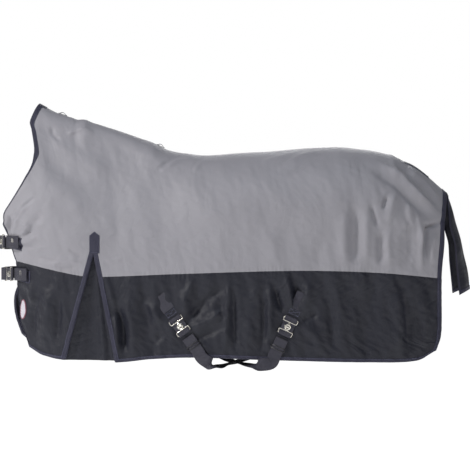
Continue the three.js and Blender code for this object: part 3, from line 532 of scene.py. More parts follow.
clothLook = {
    "cell": 0.0055, "thread": 0.00035, "weave": 0.0011, "crumple": 34.0, "soft": 7.5, "softDepth": 0.006,
    "crumpleDepth": 0.0011, "fineDepth": 0.00012, "toneLow": 0.97, "toneHigh": 1.03, "gridTone": 0.05,
    "roughness": 0.48,
    "shader": {"Sheen Weight": 0.02, "Sheen Roughness": 0.4, "Specular IOR Level": 0.3}}
# coated 600D ripstop polyester: a faint grid of thicker threads and a satin face that shows every fold
greyCloth = ripstop("grey_ripstop_polyester_600D", "#828187", clothLook)
navyCloth = ripstop("navy_ripstop_polyester_600D", "#202129", {
    **clothLook, "roughness": 0.42, "crumpleDepth": 0.0024, "softDepth": 0.013,
    "shader": {"Sheen Weight": 0.02, "Sheen Roughness": 0.35, "Sheen Tint": linear("#8e90b0"),
               "Specular IOR Level": 0.22}})
# plain nylon taffeta: dark and smooth, with a soft shine
liningCloth = ripstop("nylon_taffeta_lining", "#1c1d24", {
    **clothLook, "gridTone": 0.0, "cell": 0.02, "thread": 0.0, "roughness": 0.42})
# woven polyester binding tape: fine ribs that take a little light
tapeCloth = ribbed("polyester_binding_tape", "#252537", {
    "rib": 0.0016, "pick": 0.0022, "depth": 0.00018, "wearDepth": 0.0006,
    "shader": {"Roughness": 0.62, "Sheen Weight": 0.03, "Specular IOR Level": 0.35}})
# polypropylene webbing: coarse ribs, a little brighter than the tape
webbingCloth = ribbed("polypropylene_webbing", "#252432", {
    "rib": 0.0042, "pick": 0.0030, "depth": 0.0005, "wearDepth": 0.0008,
    "shader": {"Roughness": 0.5, "Sheen Weight": 0.04, "Specular IOR Level": 0.45}})
# bonded nylon thread: pale against the tape
threadCloth = ribbed("bonded_nylon_thread", "#55566e", {
    "rib": 0.0006, "pick": 0.0009, "depth": 0.0001, "wearDepth": 0.0001,
    "shader": {"Roughness": 0.55}})
badgeCloth = ribbed("woven_badge_cloth", "#b9b5bd", {
    "rib": 0.0010, "pick": 0.0010, "depth": 0.00012, "wearDepth": 0.0003,
    "shader": {"Roughness": 0.6}})
badgeRim = ribbed("merrowed_badge_edge", "#7d4a58", {
    "rib": 0.0010, "pick": 0.0016, "depth": 0.0003, "wearDepth": 0.0002,
    "shader": {"Roughness": 0.6}})
# moulded nylon: dark and dull, so the sliders keep out of sight on the webbing
darkNylon = ribbed("moulded_nylon", "#15151c", {
    "rib": 0.004, "pick": 0.004, "depth": 0.00002, "wearDepth": 0.0001,
    "shader": {"Roughness": 0.45}})
# nickel-plated steel: bright, with slightly soft reflections
nickel = plated("nickel_plated_steel", "#cfccc4", 0.24)
print("materials made")


# ---- meshes ----
def toFrame(points):
    points = np.asarray(points, float).reshape(-1, 3)
    return (points + (0, 0, rise)) / 1000


def storeFlat(mesh, flat):
    layer = mesh.attributes.new("flat", "FLOAT_VECTOR", "POINT")
    values = np.zeros((len(flat), 3), np.float32)
    values[:, :2] = flat
    layer.data.foreach_set("vector", values.ravel())


def meshOf(name, points, faces, flat, material, smoothed=True):
    mesh = bpy.data.meshes.new(name)
    mesh.from_pydata(toFrame(points).tolist(), [], faces)
    storeFlat(mesh, flat)
    mesh.materials.append(material)
    mesh.polygons.foreach_set("use_smooth", [smoothed] * len(mesh.polygons))
    made = bpy.data.objects.new(name, mesh)
    bpy.context.scene.collection.objects.link(made)
    return made


def gridFaces(rows, columns, closedRows=False, closedColumns=False):
    faces = []
    for i in range(rows if closedRows else rows - 1):
        for j in range(columns if closedColumns else columns - 1):
            a, b = i * columns + j, ((i + 1) % rows) * columns + j
            c, d = ((i + 1) % rows) * columns + (j + 1) % columns, i * columns + (j + 1) % columns
            faces.append((a, b, c, d))
    return faces


def gridFlat(points):
    rows, columns = points.shape[:2]
    alongStep = np.linalg.norm(np.diff(points, axis=0), axis=-1)
    acrossStep = np.linalg.norm(np.diff(points, axis=1), axis=-1)
    along = np.concatenate([np.zeros((1, columns)), np.cumsum(alongStep, 0)])
    across = np.concatenate([np.zeros((rows, 1)), np.cumsum(acrossStep, 1)], 1)
    along += points[:1, :, 0] - points[0, 0, 0]
    return np.stack([along, across], -1).reshape(-1, 2) / 1000


def sheetOf(name, points, material, closedRows=False, closedColumns=False, flat=None):
    rows, columns = points.shape[:2]
    flat = gridFlat(points) if flat is None else flat
    return meshOf(name, points, gridFaces(rows, columns, closedRows, closedColumns), flat, material)


def cutPlanes(bm):
    for a, b in ((apex, flapTop), (apex, slitFront), (apex, slitRear)):
        at = toFrame([(a[0], 0, a[1])])[0]
        way = Vector((b[0] - a[0], 0, b[1] - a[1])).normalized()
        across = Vector((way.z, 0, -way.x))
        whole = bm.verts[:] + bm.edges[:] + bm.faces[:]
        bmesh.ops.bisect_plane(bm, geom=whole, plane_co=at, plane_no=across, dist=1e-7)


def lineX(a, b, z):
    return a[0] + (b[0] - a[0]) * (z - a[1]) / (b[1] - a[1])


def partOf(x, y, z):
    # which part of the rug a point in millimetres belongs to: root, left, right or None in the slit
    if z < apex[1]:
        if x > lineX(apex, slitRear, z):
            return "root"
        if x > lineX(apex, slitFront, z):
            return None
    elif x > lineX(apex, flapTop, z):
        return "root"
    return "left" if y < 0 else "right"


foldStart = toFrame([(apex[0], 0, apex[1])])[0]


def place(made, part):
    # the rug's own pieces stay with it; the front pieces only have their placement baked into the mesh
    if part == "root":
        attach(made, "rug")
    else:
        tuple(foldStart)
        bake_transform(made)
    return made


def splitByFlaps(made, names):
    # cuts a whole piece at the chest flaps' folds and the slits; the parts keep the whole's shading
    bm = bmesh.new()
    bm.from_mesh(made.data)
    cutPlanes(bm)
    bm.normal_update()
    kept = bm.verts.layers.float_vector.new("kept")
    for vert in bm.verts:
        vert[kept] = vert.normal
    parts = {part: [] for part in names}
    for face in bm.faces:
        centre = face.calc_center_median() * 1000
        part = partOf(centre.x, centre.y, centre.z - rise)
        if part in parts:
            parts[part].append(face.index)
    found = {}
    for part, name in names.items():
        piece = bm.copy()
        piece.faces.ensure_lookup_table()
        keep = set(parts[part])
        bmesh.ops.delete(piece, geom=[f for f in piece.faces if f.index not in keep], context="FACES")
        mesh = bpy.data.meshes.new(name)
        piece.to_mesh(mesh)
        piece.free()
        normals = np.zeros(len(mesh.vertices) * 3, np.float32)
        mesh.attributes["kept"].data.foreach_get("vector", normals)
        mesh.normals_split_custom_set_from_vertices(normals.reshape(-1, 3).tolist())
        mesh.attributes.remove(mesh.attributes["kept"])
        mesh.materials.append(made.data.materials[0])
        found[part] = bpy.data.objects.new(name, mesh)
        bpy.context.scene.collection.objects.link(found[part])
        place(found[part], part)
    bm.free()
    bpy.data.objects.remove(made)
    return found


def joined(name, made):
    # one mesh from several
    bm = bmesh.new()
    for piece in made:
        bm.from_mesh(piece.data)
    mesh = bpy.data.meshes.new(name)
    bm.to_mesh(mesh)
    bm.free()
    mesh.materials.append(made[0].data.materials[0])
    for piece in made:
        bpy.data.objects.remove(piece)
    whole = bpy.data.objects.new(name, mesh)
    bpy.context.scene.collection.objects.link(whole)
    return whole


# ---- the cloth ----
cloth = {"columns": 380, "upperRows": 110, "lowerRows": 78, "liningColumns": 150, "liningRows": 44,
         "liningHeight": -7.8}
alongAll = np.linspace(0, 1, cloth["columns"] + 1)[:, None]


upperV = np.linspace(-1, 1, 2 * cloth["upperRows"] + 1)[None, :]
upper = sheetOf("upperWhole", byUv(alongAll, upperV), greyCloth)
upperParts = splitByFlaps(upper, {
    "root": "upper_shell_cloth", "left": "left_chest_upper_cloth", "right": "right_chest_upper_cloth"})
for word, side in (("left", -1), ("right", 1)):
    rowsV = np.linspace(1.0, 2.0, cloth["lowerRows"] + 1) * side
    rowsV = rowsV[None, :] if side > 0 else rowsV[::-1][None, :]
    whole = sheetOf("panelWhole", byUv(alongAll, rowsV), navyCloth)
    names = {"root": f"{word}_side_panel_cloth", word: f"{word}_chest_panel_cloth"}
    splitByFlaps(whole, names)
liningV = np.linspace(-2, 2, 4 * cloth["liningRows"] + 1)[None, :]
liningU = np.linspace(0, 1, cloth["liningColumns"] + 1)[:, None]
liningWhole = sheetOf("liningWhole", byUv(liningU, liningV, cloth["liningHeight"])[:, ::-1], liningCloth)
liningParts = splitByFlaps(liningWhole, {
    "root": "lining_cloth", "left": "left_chest_lining_cloth", "right": "right_chest_lining_cloth"})
print("cloth made")

# ---- bindings and stitches ----
stitches = {"root": [], "left": [], "right": []}
stitch = {"length": 3.4, "pitch": 4.8, "half": 0.38, "high": 0.55}


def between(at, places, values):
    return np.array([np.interp(at, places, values[:, k]) for k in range(3)])


def stitchAlong(points, normals):
    # small raised bars along a line of points
    steps = np.linalg.norm(np.diff(points, axis=0), axis=1)
    places = np.concatenate([[0], np.cumsum(steps)])
    for start in np.arange(stitch["pitch"], places[-1] - stitch["pitch"], stitch["pitch"]):
        ends = [between(s, places, points) for s in (start, start + stitch["length"])]
        out = unit(between(start, places, normals))
        middle = (ends[0] + ends[1]) / 2
        part = partOf(middle[0], middle[1], middle[2])
        if part:
            stitches[part].append((ends[0], ends[1], out))


def stitchMesh(name, part):
    corners, flat, faces = [], [], []
    for a, b, out in stitches[part]:
        along = unit(b - a)
        wide = np.cross(along, out) * stitch["half"]
        first = len(corners)
        high = stitch["high"]
        for at, lift in ((a, 0.0), (a + along * 0.7, high), (b - along * 0.7, high), (b, 0.0)):
            corners += [at - wide + out * lift, at + wide + out * lift]
        flat += [(0, 0)] * 8
        for i in range(3):
            k = first + 2 * i
            faces.append((k, k + 1, k + 3, k + 2))
        faces += [(first, first + 2, first + 4, first + 6), (first + 1, first + 7, first + 5, first + 3)]
    return meshOf(name, np.array(corners), faces, np.array(flat, float), threadCloth, smoothed=False)


tape = {"top": 1.7, "under": -9.4, "lap": 2.4, "stitchIn": 2.6}


def edgeTape(name, count, width, sample):
    # tape folded over an edge; sample(k, inset, height) gives points along the edge for shares k
    k = np.linspace(0, 1, count)
    edgeOut = sample(k, 0.0, tape["top"])
    edgeIn = sample(k, 0.0, tape["under"])
    inward = unit(sample(k, 4.0, 0.0) - sample(k, 0.0, 0.0))
    under = tape["under"]
    rows = [sample(k, width + 0.3, 0.2), sample(k, width, tape["top"] - 0.5),
            sample(k, width - 0.8, tape["top"])]
    rows += [sample(k, width * s, tape["top"] + 0.25 * math.sin(3 * s)) for s in (0.75, 0.5, 0.25)]
    rows += [edgeOut - inward * 0.6]
    for turn in (0.15, 0.35, 0.5, 0.65, 0.85):
        rounding = edgeOut + (edgeIn - edgeOut) * turn
        rows.append(rounding - inward * tape["lap"] * math.sin(math.pi * turn) ** 0.6)
    rows += [edgeIn - inward * 0.6, sample(k, width * 0.45, under), sample(k, width * 0.9, under),
             sample(k, width * 0.92, under + 1.4)]
    made = sheetOf(name, np.stack(rows, 1), tapeCloth)
    line = sample(k, width - tape["stitchIn"], tape["top"] + 0.12)
    lift = unit(sample(k, width - tape["stitchIn"], 4.0) - sample(k, width - tape["stitchIn"], 0.0))
    stitchAlong(line, lift)
    return made


spineLength = spineEnds[1] - spineEnds[0]


def frontEdge(vFrom, vTo):
    # low on the neck the edge turns inwards, so the tape reaches further round to show its width
    def sample(k, inset, height):
        v = lerp(vFrom, vTo, k)
        turning = smooth(share(np.abs(v), 0.4, 0.7)) * (1 - smooth(share(np.abs(v), 1.0, 1.4)))
        return byUv(inset * (1 + 1.1 * turning) / spineLength, v, height)

    return sample


def rearEdgeAt(vFrom, vTo):
    return lambda k, inset, height: byUv(1 - inset / spineLength, lerp(vFrom, vTo, k), height)


def hemEdge(side):
    return lambda k, inset, height: byUv(k if side > 0 else 1 - k, side * (2 - inset / 345.0), height)


def slitEdge(end, side, inwardSign):
    span = math.hypot(end[0] - apex[0], end[1] - apex[1])
    acrossX = (end[1] - apex[1]) / span * -1 * inwardSign
    acrossZ = (end[0] - apex[0]) / span * inwardSign

    def sample(k, inset, height):
        x = lerp(apex[0], end[0], k) + acrossX * inset
        z = lerp(apex[1], end[1], k) + acrossZ * inset
        return byXz(x, z, side, height)

    return sample


crestTape = edgeTape("crestWhole", 60, 30, frontEdge(-0.085, 0.085))
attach(crestTape, "rug")
crestTape.name = "crest_band_tape"
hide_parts("crest_band")
for word, side in (("left", -1), ("right", 1)):
    whole = edgeTape("frontWhole", 260, 16, frontEdge(0.085 * side, 2 * side))
    neck = splitByFlaps(whole, {"root": f"{word}_neck_binding_tape", word: f"{word}_chest_front_binding"})
    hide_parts(f"{word}_neck_binding")
    hem = edgeTape("hemWhole", 420, 12, hemEdge(side))
    hemParts = splitByFlaps(hem, {"root": f"{word}_hem_binding_tape", word: f"{word}_chest_hem_binding"})
    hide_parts(f"{word}_hem_binding")
    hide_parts(f"{word}_chest_binding")
    slitBack = edgeTape(f"{word}_slit_rear_tape", 90, 17, slitEdge(slitRear, side, 1))
    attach(slitBack, "rug")
    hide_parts(f"{word}_slit_tape")
    slitAhead = edgeTape(f"{word}_slit_front_tape", 90, 17, slitEdge(slitFront, side, -1))
    place(slitAhead, word)
rear = edgeTape("rear_binding_tape", 300, 15, rearEdgeAt(-2, 2))
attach(rear, "rug")
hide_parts("rear_binding")
print("bindings made")


# ---- gussets ----
gusset = {"rows": 70, "columns": 40, "height": -10.5, "lap": 14, "hollow": 26,
          "pleats": [(0.72, 0.07, 9), (0.85, 0.05, -5), (0.3, 0.09, 5)]}  # place, half width, height
for word, side in (("left", -1), ("right", 1)):
    down = np.linspace(0, 1, gusset["rows"])[:, None]
    across = np.linspace(0, 1, gusset["columns"])[None, :]
    z = lerp(apex[1] + 8, slitRear[1] + 4, down) + 0 * across
    x0 = lineX(apex, slitFront, np.minimum(z, apex[1])) - gusset["lap"]
    x1 = lineX(apex, slitRear, np.minimum(z, apex[1])) + gusset["lap"]
    x = lerp(x0, x1, across)
    base, normal = clothAt(x, z, side)
    spread = smooth(down) * np.sin(np.pi * across) ** 1.2
    pleat = 0
    for at, wide, high in gusset["pleats"]:
        pleat = pleat + high * smooth(down) * np.exp(-(((across - at) / wide) ** 2))
    flatFolds = foldsAt(x, z, side)
    edge = np.minimum(across, 1 - across)
    height = gusset["height"] + flatFolds * (1 - smooth(share(edge, 0, 0.3))) * 0.9
    height = height - gusset["hollow"] * spread + pleat * smooth(share(edge, 0, 0.15))
    points = base + normal * height[..., None]
    if side > 0:
        points = points[:, ::-1]
    made = sheetOf(f"{word}_gusset_cloth", points[:, ::-1], navyCloth)
    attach(made, "rug")
    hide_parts(f"{word}_gusset")
print("gussets made")


def patchOn(name, outline, side, height, material, stitched=True, part="root"):
    # a flat patch sewn to the cloth, from its outline in the side view
    outline = np.array(outline, float)
    middle = outline.mean(0)
    rings = [(1.0, 0.1), (1.0, height - 0.35), (0.985, height)]
    rings += [(s, height) for s in (0.8, 0.6, 0.4, 0.2, 0.02)]
    around = []
    for i in range(len(outline)):
        a, b = outline[i], outline[(i + 1) % len(outline)]
        steps = max(2, int(np.hypot(*(b - a)) / 4))
        around += [a + (b - a) * s / steps for s in range(steps)]
    around = np.array(around)
    rows = []
    for size, lift in rings:
        at = middle + (around - middle) * size
        rows.append(byXz(at[:, 0], at[:, 1], side, lift))
    points = np.stack(rows, 0)
    flat = np.concatenate([(middle + (around - middle) * size) for size, _ in rings]) / 1000
    if side < 0:
        points = points[:, ::-1]
        flat = flat.reshape(len(rings), -1, 2)[:, ::-1].reshape(-1, 2)
    made = sheetOf(name, points, material, closedColumns=True, flat=flat)
    if stitched:
        size = 1 - 3.0 / np.abs(around - middle).max()  # stitched 3 mm in from its edge
        ring = middle + (around - middle) * size
        ring = np.concatenate([ring, ring[:1]])
        line = byXz(ring[:, 0], ring[:, 1], side, height + 0.12)
        stitchAlong(line, clothAt(ring[:, 0], ring[:, 1], side)[1])
    return place(made, part)


for word, side in (("left", -1), ("right", 1)):
    tab = [(-20, -2), (20, -2), (20, 68), (0, 84), (-20, 68)]
    outline = [(apex[0] + x + 4, apex[1] + z + 2) for x, z in tab]
    made = patchOn(f"{word}_tab_cloth", outline, side, 2.1, tapeCloth)
    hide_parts(f"{word}_gusset_tab")
turns = np.linspace(0, 2 * np.pi, 41)[:-1]
badgeAt = np.array((-588, -646))


def oval(wide, high):
    return [badgeAt + (wide * math.cos(t), high * math.sin(t)) for t in turns]


rim = patchOn("badge_rim", oval(12, 40), -1, 2.2, badgeRim, stitched=False, part="left")
patchOn("badge_face", oval(9.2, 35.5), -1, 2.6, badgeCloth, stitched=False, part="left")
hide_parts("oval_badge")
print("patches made")

# ---- fastenings ----
fit = {"webbing": 50, "thick": 2.2, "barWidth": 5, "barThick": 4.4, "window": 11, "clear": 1.5, "barClear": 0.7,
       "play": 0.6, "reach": 18, "stemWide": 9, "stemThick": 2, "postWide": 7, "headLong": 17, "headWide": 7,
       "headThick": 3, "ringOuter": 25, "ringHole": 12, "ringThick": 2.4, "folded": 40, "slider": 16,
       "sliderThick": 1.6, "travel": 9, "runOut": 22}
hookBars = (0, fit["barWidth"] + fit["window"])
postAt = hookBars[1] + fit["barWidth"] / 2 + fit["reach"]
ringBar = postAt + fit["ringOuter"] / 2 + fit["barWidth"] / 2
ringBars = (ringBar, ringBar + fit["barWidth"] + fit["window"])
frameHalf = fit["webbing"] / 2 + fit["clear"] + fit["barWidth"]
tapeGap = 0.4
hookLow = tapeGap + fit["thick"] + fit["barClear"]
ringLow = hookLow + fit["stemThick"] + fit["play"]
headLow = ringLow + fit["ringThick"] + fit["play"]
strapTop = ringLow - fit["barClear"]
strapMid = strapTop - fit["thick"] / 2
sliderAt = ringBars[1] + fit["folded"] + fit["travel"] + fit["slider"] / 2 + 4
straightEnd = sliderAt + fit["travel"] + fit["runOut"]


def axesAt(origin, towards, out):
    out = unit(out)
    x = towards - origin
    x = unit(x - out * (x @ out))
    turn = np.stack([x, np.cross(out, x), out], 1)
    return lambda points: np.asarray(points, float) @ turn.T + origin


def directed(local, way):
    return local([way])[0] - local([(0, 0, 0)])[0]


def sweepBar(path, halfA, halfB, upWay, closed, sides=12, power=0.6):
    # a bar of rounded section along a path, all in local millimetres
    path = np.array(path, float)
    count = len(path)
    after = np.roll(path, -1, 0) if closed else np.concatenate([path[1:], path[-1:]])
    before = np.roll(path, 1, 0) if closed else np.concatenate([path[:1], path[:-1]])
    along = unit(after - before)
    up = np.tile(np.array(upWay, float), (count, 1))
    wide = unit(np.cross(along, up))
    up = np.cross(wide, along)
    angles = np.linspace(0, 2 * np.pi, sides, endpoint=False)
    ca = np.sign(np.cos(angles)) * np.abs(np.cos(angles)) ** power
    sa = np.sign(np.sin(angles)) * np.abs(np.sin(angles)) ** power
    rows = path[:, None] + wide[:, None] * (ca * halfA)[None, :, None]
    rows = rows + up[:, None] * (sa * halfB)[None, :, None]
    faces = gridFaces(count, sides, closed, True)
    if not closed:
        faces += [tuple(range(sides)), tuple(reversed([(count - 1) * sides + j for j in range(sides)]))]
    return rows.reshape(-1, 3), faces


def loopPath(x0, x1, half, z, corner=3.0, steps=5):
    path = []
    for cx, cy, start in ((x1 - corner, half - corner, 0), (x0 + corner, half - corner, 90),
                          (x0 + corner, corner - half, 180), (x1 - corner, corner - half, 270)):
        for i in range(steps + 1):
            a = math.radians(start + 90 * i / steps)
            path.append((cx + corner * math.cos(a), cy + corner * math.sin(a), z))
    return path


def ringBand(centre, inner, outer, low, high, sides=48):
    mid = (inner + outer) / 2
    section = []
    for k in np.linspace(0, 2 * np.pi, 12, endpoint=False):
        a = math.copysign(abs(math.cos(k)) ** 0.5, math.cos(k))
        b = math.copysign(abs(math.sin(k)) ** 0.5, math.sin(k))
        section.append((mid + a * (outer - inner) / 2, (low + high) / 2 + b * (high - low) / 2))
    turns = np.linspace(0, 2 * np.pi, sides, endpoint=False)
    rows = [[(centre + r * math.cos(t), r * math.sin(t), z) for r, z in section] for t in turns]
    return np.array(rows).reshape(-1, 3), gridFaces(sides, 12, True, True)


def outwards(made):
    # turns every face outwards
    bm = bmesh.new()
    bm.from_mesh(made.data)
    bmesh.ops.recalc_face_normals(bm, faces=bm.faces[:])
    bm.to_mesh(made.data)
    bm.free()
    return made


def solidParts(name, parts, local, body, material=nickel):
    points, faces, count = [], [], 0
    for p, f in parts:
        points.append(p)
        faces += [tuple(i + count for i in face) for face in f]
        count += len(p)
    points = local(np.concatenate(points))
    made = outwards(meshOf(name, points, faces, np.zeros((count, 2)), material))
    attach(made, body)
    return made


def frameBars(bars, low):
    path = loopPath(bars[0], bars[1], frameHalf - 3.4, low + fit["barThick"] / 2)
    return sweepBar(path, 1.7, 1.7, (0, 0, 1), True, power=0.8)


def hookParts():
    frameLoop = frameBars(hookBars, hookLow)
    stemLine = [(x, 0, hookLow + 1) for x in (hookBars[1], postAt - 6, postAt + 3, postAt + 4.2)]
    stem = sweepBar(stemLine, 4.5, 1.0, (0, 0, 1), False, power=0.5)
    postLine = [(postAt, 0, hookLow + 0.2), (postAt, 0, headLow + 1.5)]
    post = sweepBar(postLine, 3.5, 3.5, (1, 0, 0), False, sides=20, power=1.0)
    half = fit["headLong"] / 2
    headLine = [(postAt, y, headLow + 1.5) for y in (-half, -half + 1, half - 1, half)]
    head = sweepBar(headLine, 3.5, 1.5, (0, 0, 1), False, power=0.8)
    return [frameLoop, stem, post, head]


def ringParts():
    frameLoop = frameBars(ringBars, ringLow)
    eye = ringBand(postAt, fit["ringHole"] / 2, fit["ringOuter"] / 2, ringLow, ringLow + fit["ringThick"])
    neckLine = [(x, 0, ringLow + 1.2) for x in (postAt + 9, ringBars[0])]
    neck = sweepBar(neckLine, 6.2, 1.2, (0, 0, 1), False, power=0.5)
    return [frameLoop, eye, neck]


def sliderParts(x):
    half = fit["webbing"] / 2 + fit["clear"]
    reach = fit["thick"] / 2 + fit["play"] + 0.8
    low, high = strapMid - reach, strapMid + reach
    parts = []
    for at in (x - fit["slider"] / 2 + 2, x + fit["slider"] / 2 - 2):
        side = half + 1.2
        path = [(at, y, z) for y, z in ((side, low), (side, high), (-side, high), (-side, low))]
        parts.append(sweepBar(path, 0.8, 2.0, (1, 0, 0), True, power=0.7))
    for y in (half + 1.6, -half - 1.6):
        rail = [(x - 7, y, (low + high) / 2), (x + 7, y, (low + high) / 2)]
        parts.append(sweepBar(rail, 1.2, 2.2, (0, 0, 1), False, power=0.7))
    return parts


def ribbonOf(name, points, across, width=fit["webbing"], thick=fit["thick"], material=webbingCloth):
    # webbing along points, lying flat across `across`, with soft edges
    points = np.array(points, float)
    along = unit(np.gradient(points, axis=0))
    across = np.array(across, float)
    wide = unit(across - along * (across * along).sum(1, keepdims=True))
    out = np.cross(along, wide)
    half, deep = width / 2, thick / 2
    section = [(-half, 0), (-half + 0.5, deep * 0.8), (-half + 1.6, deep)]
    section += [(s * half, deep) for s in (-0.6, -0.3, 0, 0.3, 0.6)]
    section += [(half - 1.6, deep), (half - 0.5, deep * 0.8), (half, 0), (half - 0.5, -deep * 0.8),
                (half - 1.6, -deep)]
    section += [(s * half, -deep) for s in (0.6, 0, -0.6)] + [(-half + 1.6, -deep), (-half + 0.5, -deep * 0.8)]
    sideways, outwardsBy = np.array(section).T[:, None, :, None]
    rows = points[:, None] + wide[:, None] * sideways + out[:, None] * outwardsBy
    lengths = np.concatenate([[0], np.cumsum(np.linalg.norm(np.diff(points, axis=0), axis=1))])
    flat = [np.repeat(lengths, len(section)), np.tile([s[0] for s in section], len(points))]
    flat = np.stack(flat, -1) / 1000
    count, sides = len(points), len(section)
    faces = gridFaces(count, sides, False, True)
    faces += [tuple(reversed(range(sides))), tuple((count - 1) * sides + j for j in range(sides))]
    return outwards(meshOf(name, rows.reshape(-1, 3), faces, flat, material))


def smoothPath(points, count):
    # a centripetal curve through the points
    points = [np.array(p, float) for p in points]
    points = [2 * points[0] - points[1], *points, 2 * points[-1] - points[-2]]
    found = []
    segments = len(points) - 3
    for i in range(1, len(points) - 2):
        p = points[i - 1 : i + 3]
        t = [0.0]
        for a, b in zip(p[:-1], p[1:]):
            t.append(t[-1] + max(np.linalg.norm(b - a), 1e-6) ** 0.5)
        for s in np.linspace(t[1], t[2], count // segments, endpoint=i == len(points) - 3):
            a1 = (t[1] - s) / (t[1] - t[0]) * p[0] + (s - t[0]) / (t[1] - t[0]) * p[1]
            a2 = (t[2] - s) / (t[2] - t[1]) * p[1] + (s - t[1]) / (t[2] - t[1]) * p[2]
            a3 = (t[3] - s) / (t[3] - t[2]) * p[2] + (s - t[2]) / (t[3] - t[2]) * p[3]
            b1 = (t[2] - s) / (t[2] - t[0]) * a1 + (s - t[0]) / (t[2] - t[0]) * a2
            b2 = (t[3] - s) / (t[3] - t[1]) * a2 + (s - t[1]) / (t[3] - t[1]) * a3
            found.append((t[2] - s) / (t[2] - t[1]) * b1 + (s - t[1]) / (t[2] - t[1]) * b2)
    return np.array(found)


def loopWebbing(x, low, way):
    # webbing from its stitched end round the bar at x and back, as a path in local millimetres
    inner = fit["barThick"] / 2 + fit["barClear"]
    centre = inner + fit["thick"] / 2
    mid = low + fit["barThick"] / 2
    bend = fit["barWidth"] / 2 + fit["barClear"]
    path = [(-fit["folded"], mid - centre), (-bend - 6, mid - centre), (bend * 0.4, mid - centre)]
    path += [(bend * 0.4 + centre * math.sin(t), mid - centre * math.cos(t))
             for t in np.linspace(0.3, np.pi - 0.3, 8)]
    path += [(bend * 0.4, mid + centre), (-bend, mid + centre), (-bend - 2 * inner, mid - inner + fit["thick"])]
    path += [(-fit["folded"] * part, mid - centre + fit["thick"]) for part in (0.62, 1)]
    return [(x - way * px, 0, pz) for px, pz in path]


def fasteningPieces(name, local, hookBody, ringBody, withSlider):
    hook = solidParts(f"{name}_hook_metal", hookParts(), local, hookBody)
    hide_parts(f"{name}_hook")
    ring = solidParts(f"{name}_ring_metal", ringParts(), local, ringBody)
    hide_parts(f"{name}_ring")
    if withSlider:
        slider = solidParts(f"{name}_slider_body", sliderParts(sliderAt), local, f"{name}_slider", darkNylon)
        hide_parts(f"{name}_slider")


hookPlaces = {"front": ((30, -676), (0.58, -0.81)), "rear": ((488, -674), (-0.42, -0.91))}
hingeZ = -852  # of the belly straps, where they leave the right hem
sewnLength = 110


def withLoop(name, strap, loop, wide):
    # one piece from a strap and the loop at its end
    fold = ribbonOf("fold", loop, np.tile(wide, (len(loop), 1)))
    return joined(name, [strap, fold])


def stitchBox(local, x0, x1, half, height):
    # a sewn box with its cross
    corners = [(x0, -half), (x1, -half), (x1, half), (x0, half),
               (x0, -half), (x1, half), (x1, -half), (x0, half)]
    out = directed(local, (0, 0, 1))
    for (ax, ay), (bx, by) in zip(corners[:-1], corners[1:]):
        line = local([(lerp(ax, bx, s), lerp(ay, by, s), height) for s in np.linspace(0, 1, 8)])
        bodyStitches.append((line, np.tile(out, (8, 1))))


def stitchRows(name, lines, body):
    kept = stitches["root"]
    stitches["root"] = []
    for line, normals in lines:
        steps = np.linalg.norm(np.diff(line, axis=0), axis=1)
        places = np.concatenate([[0], np.cumsum(steps)])
        for start in np.arange(0, max(places[-1] - stitch["length"], 0.1), stitch["pitch"]):
            ends = [between(s, places, line) for s in (start, start + stitch["length"])]
            stitches["root"].append((ends[0], ends[1], normals[0]))
    made = stitchMesh(name, "root")
    stitches["root"] = kept
    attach(made, body)
    return made


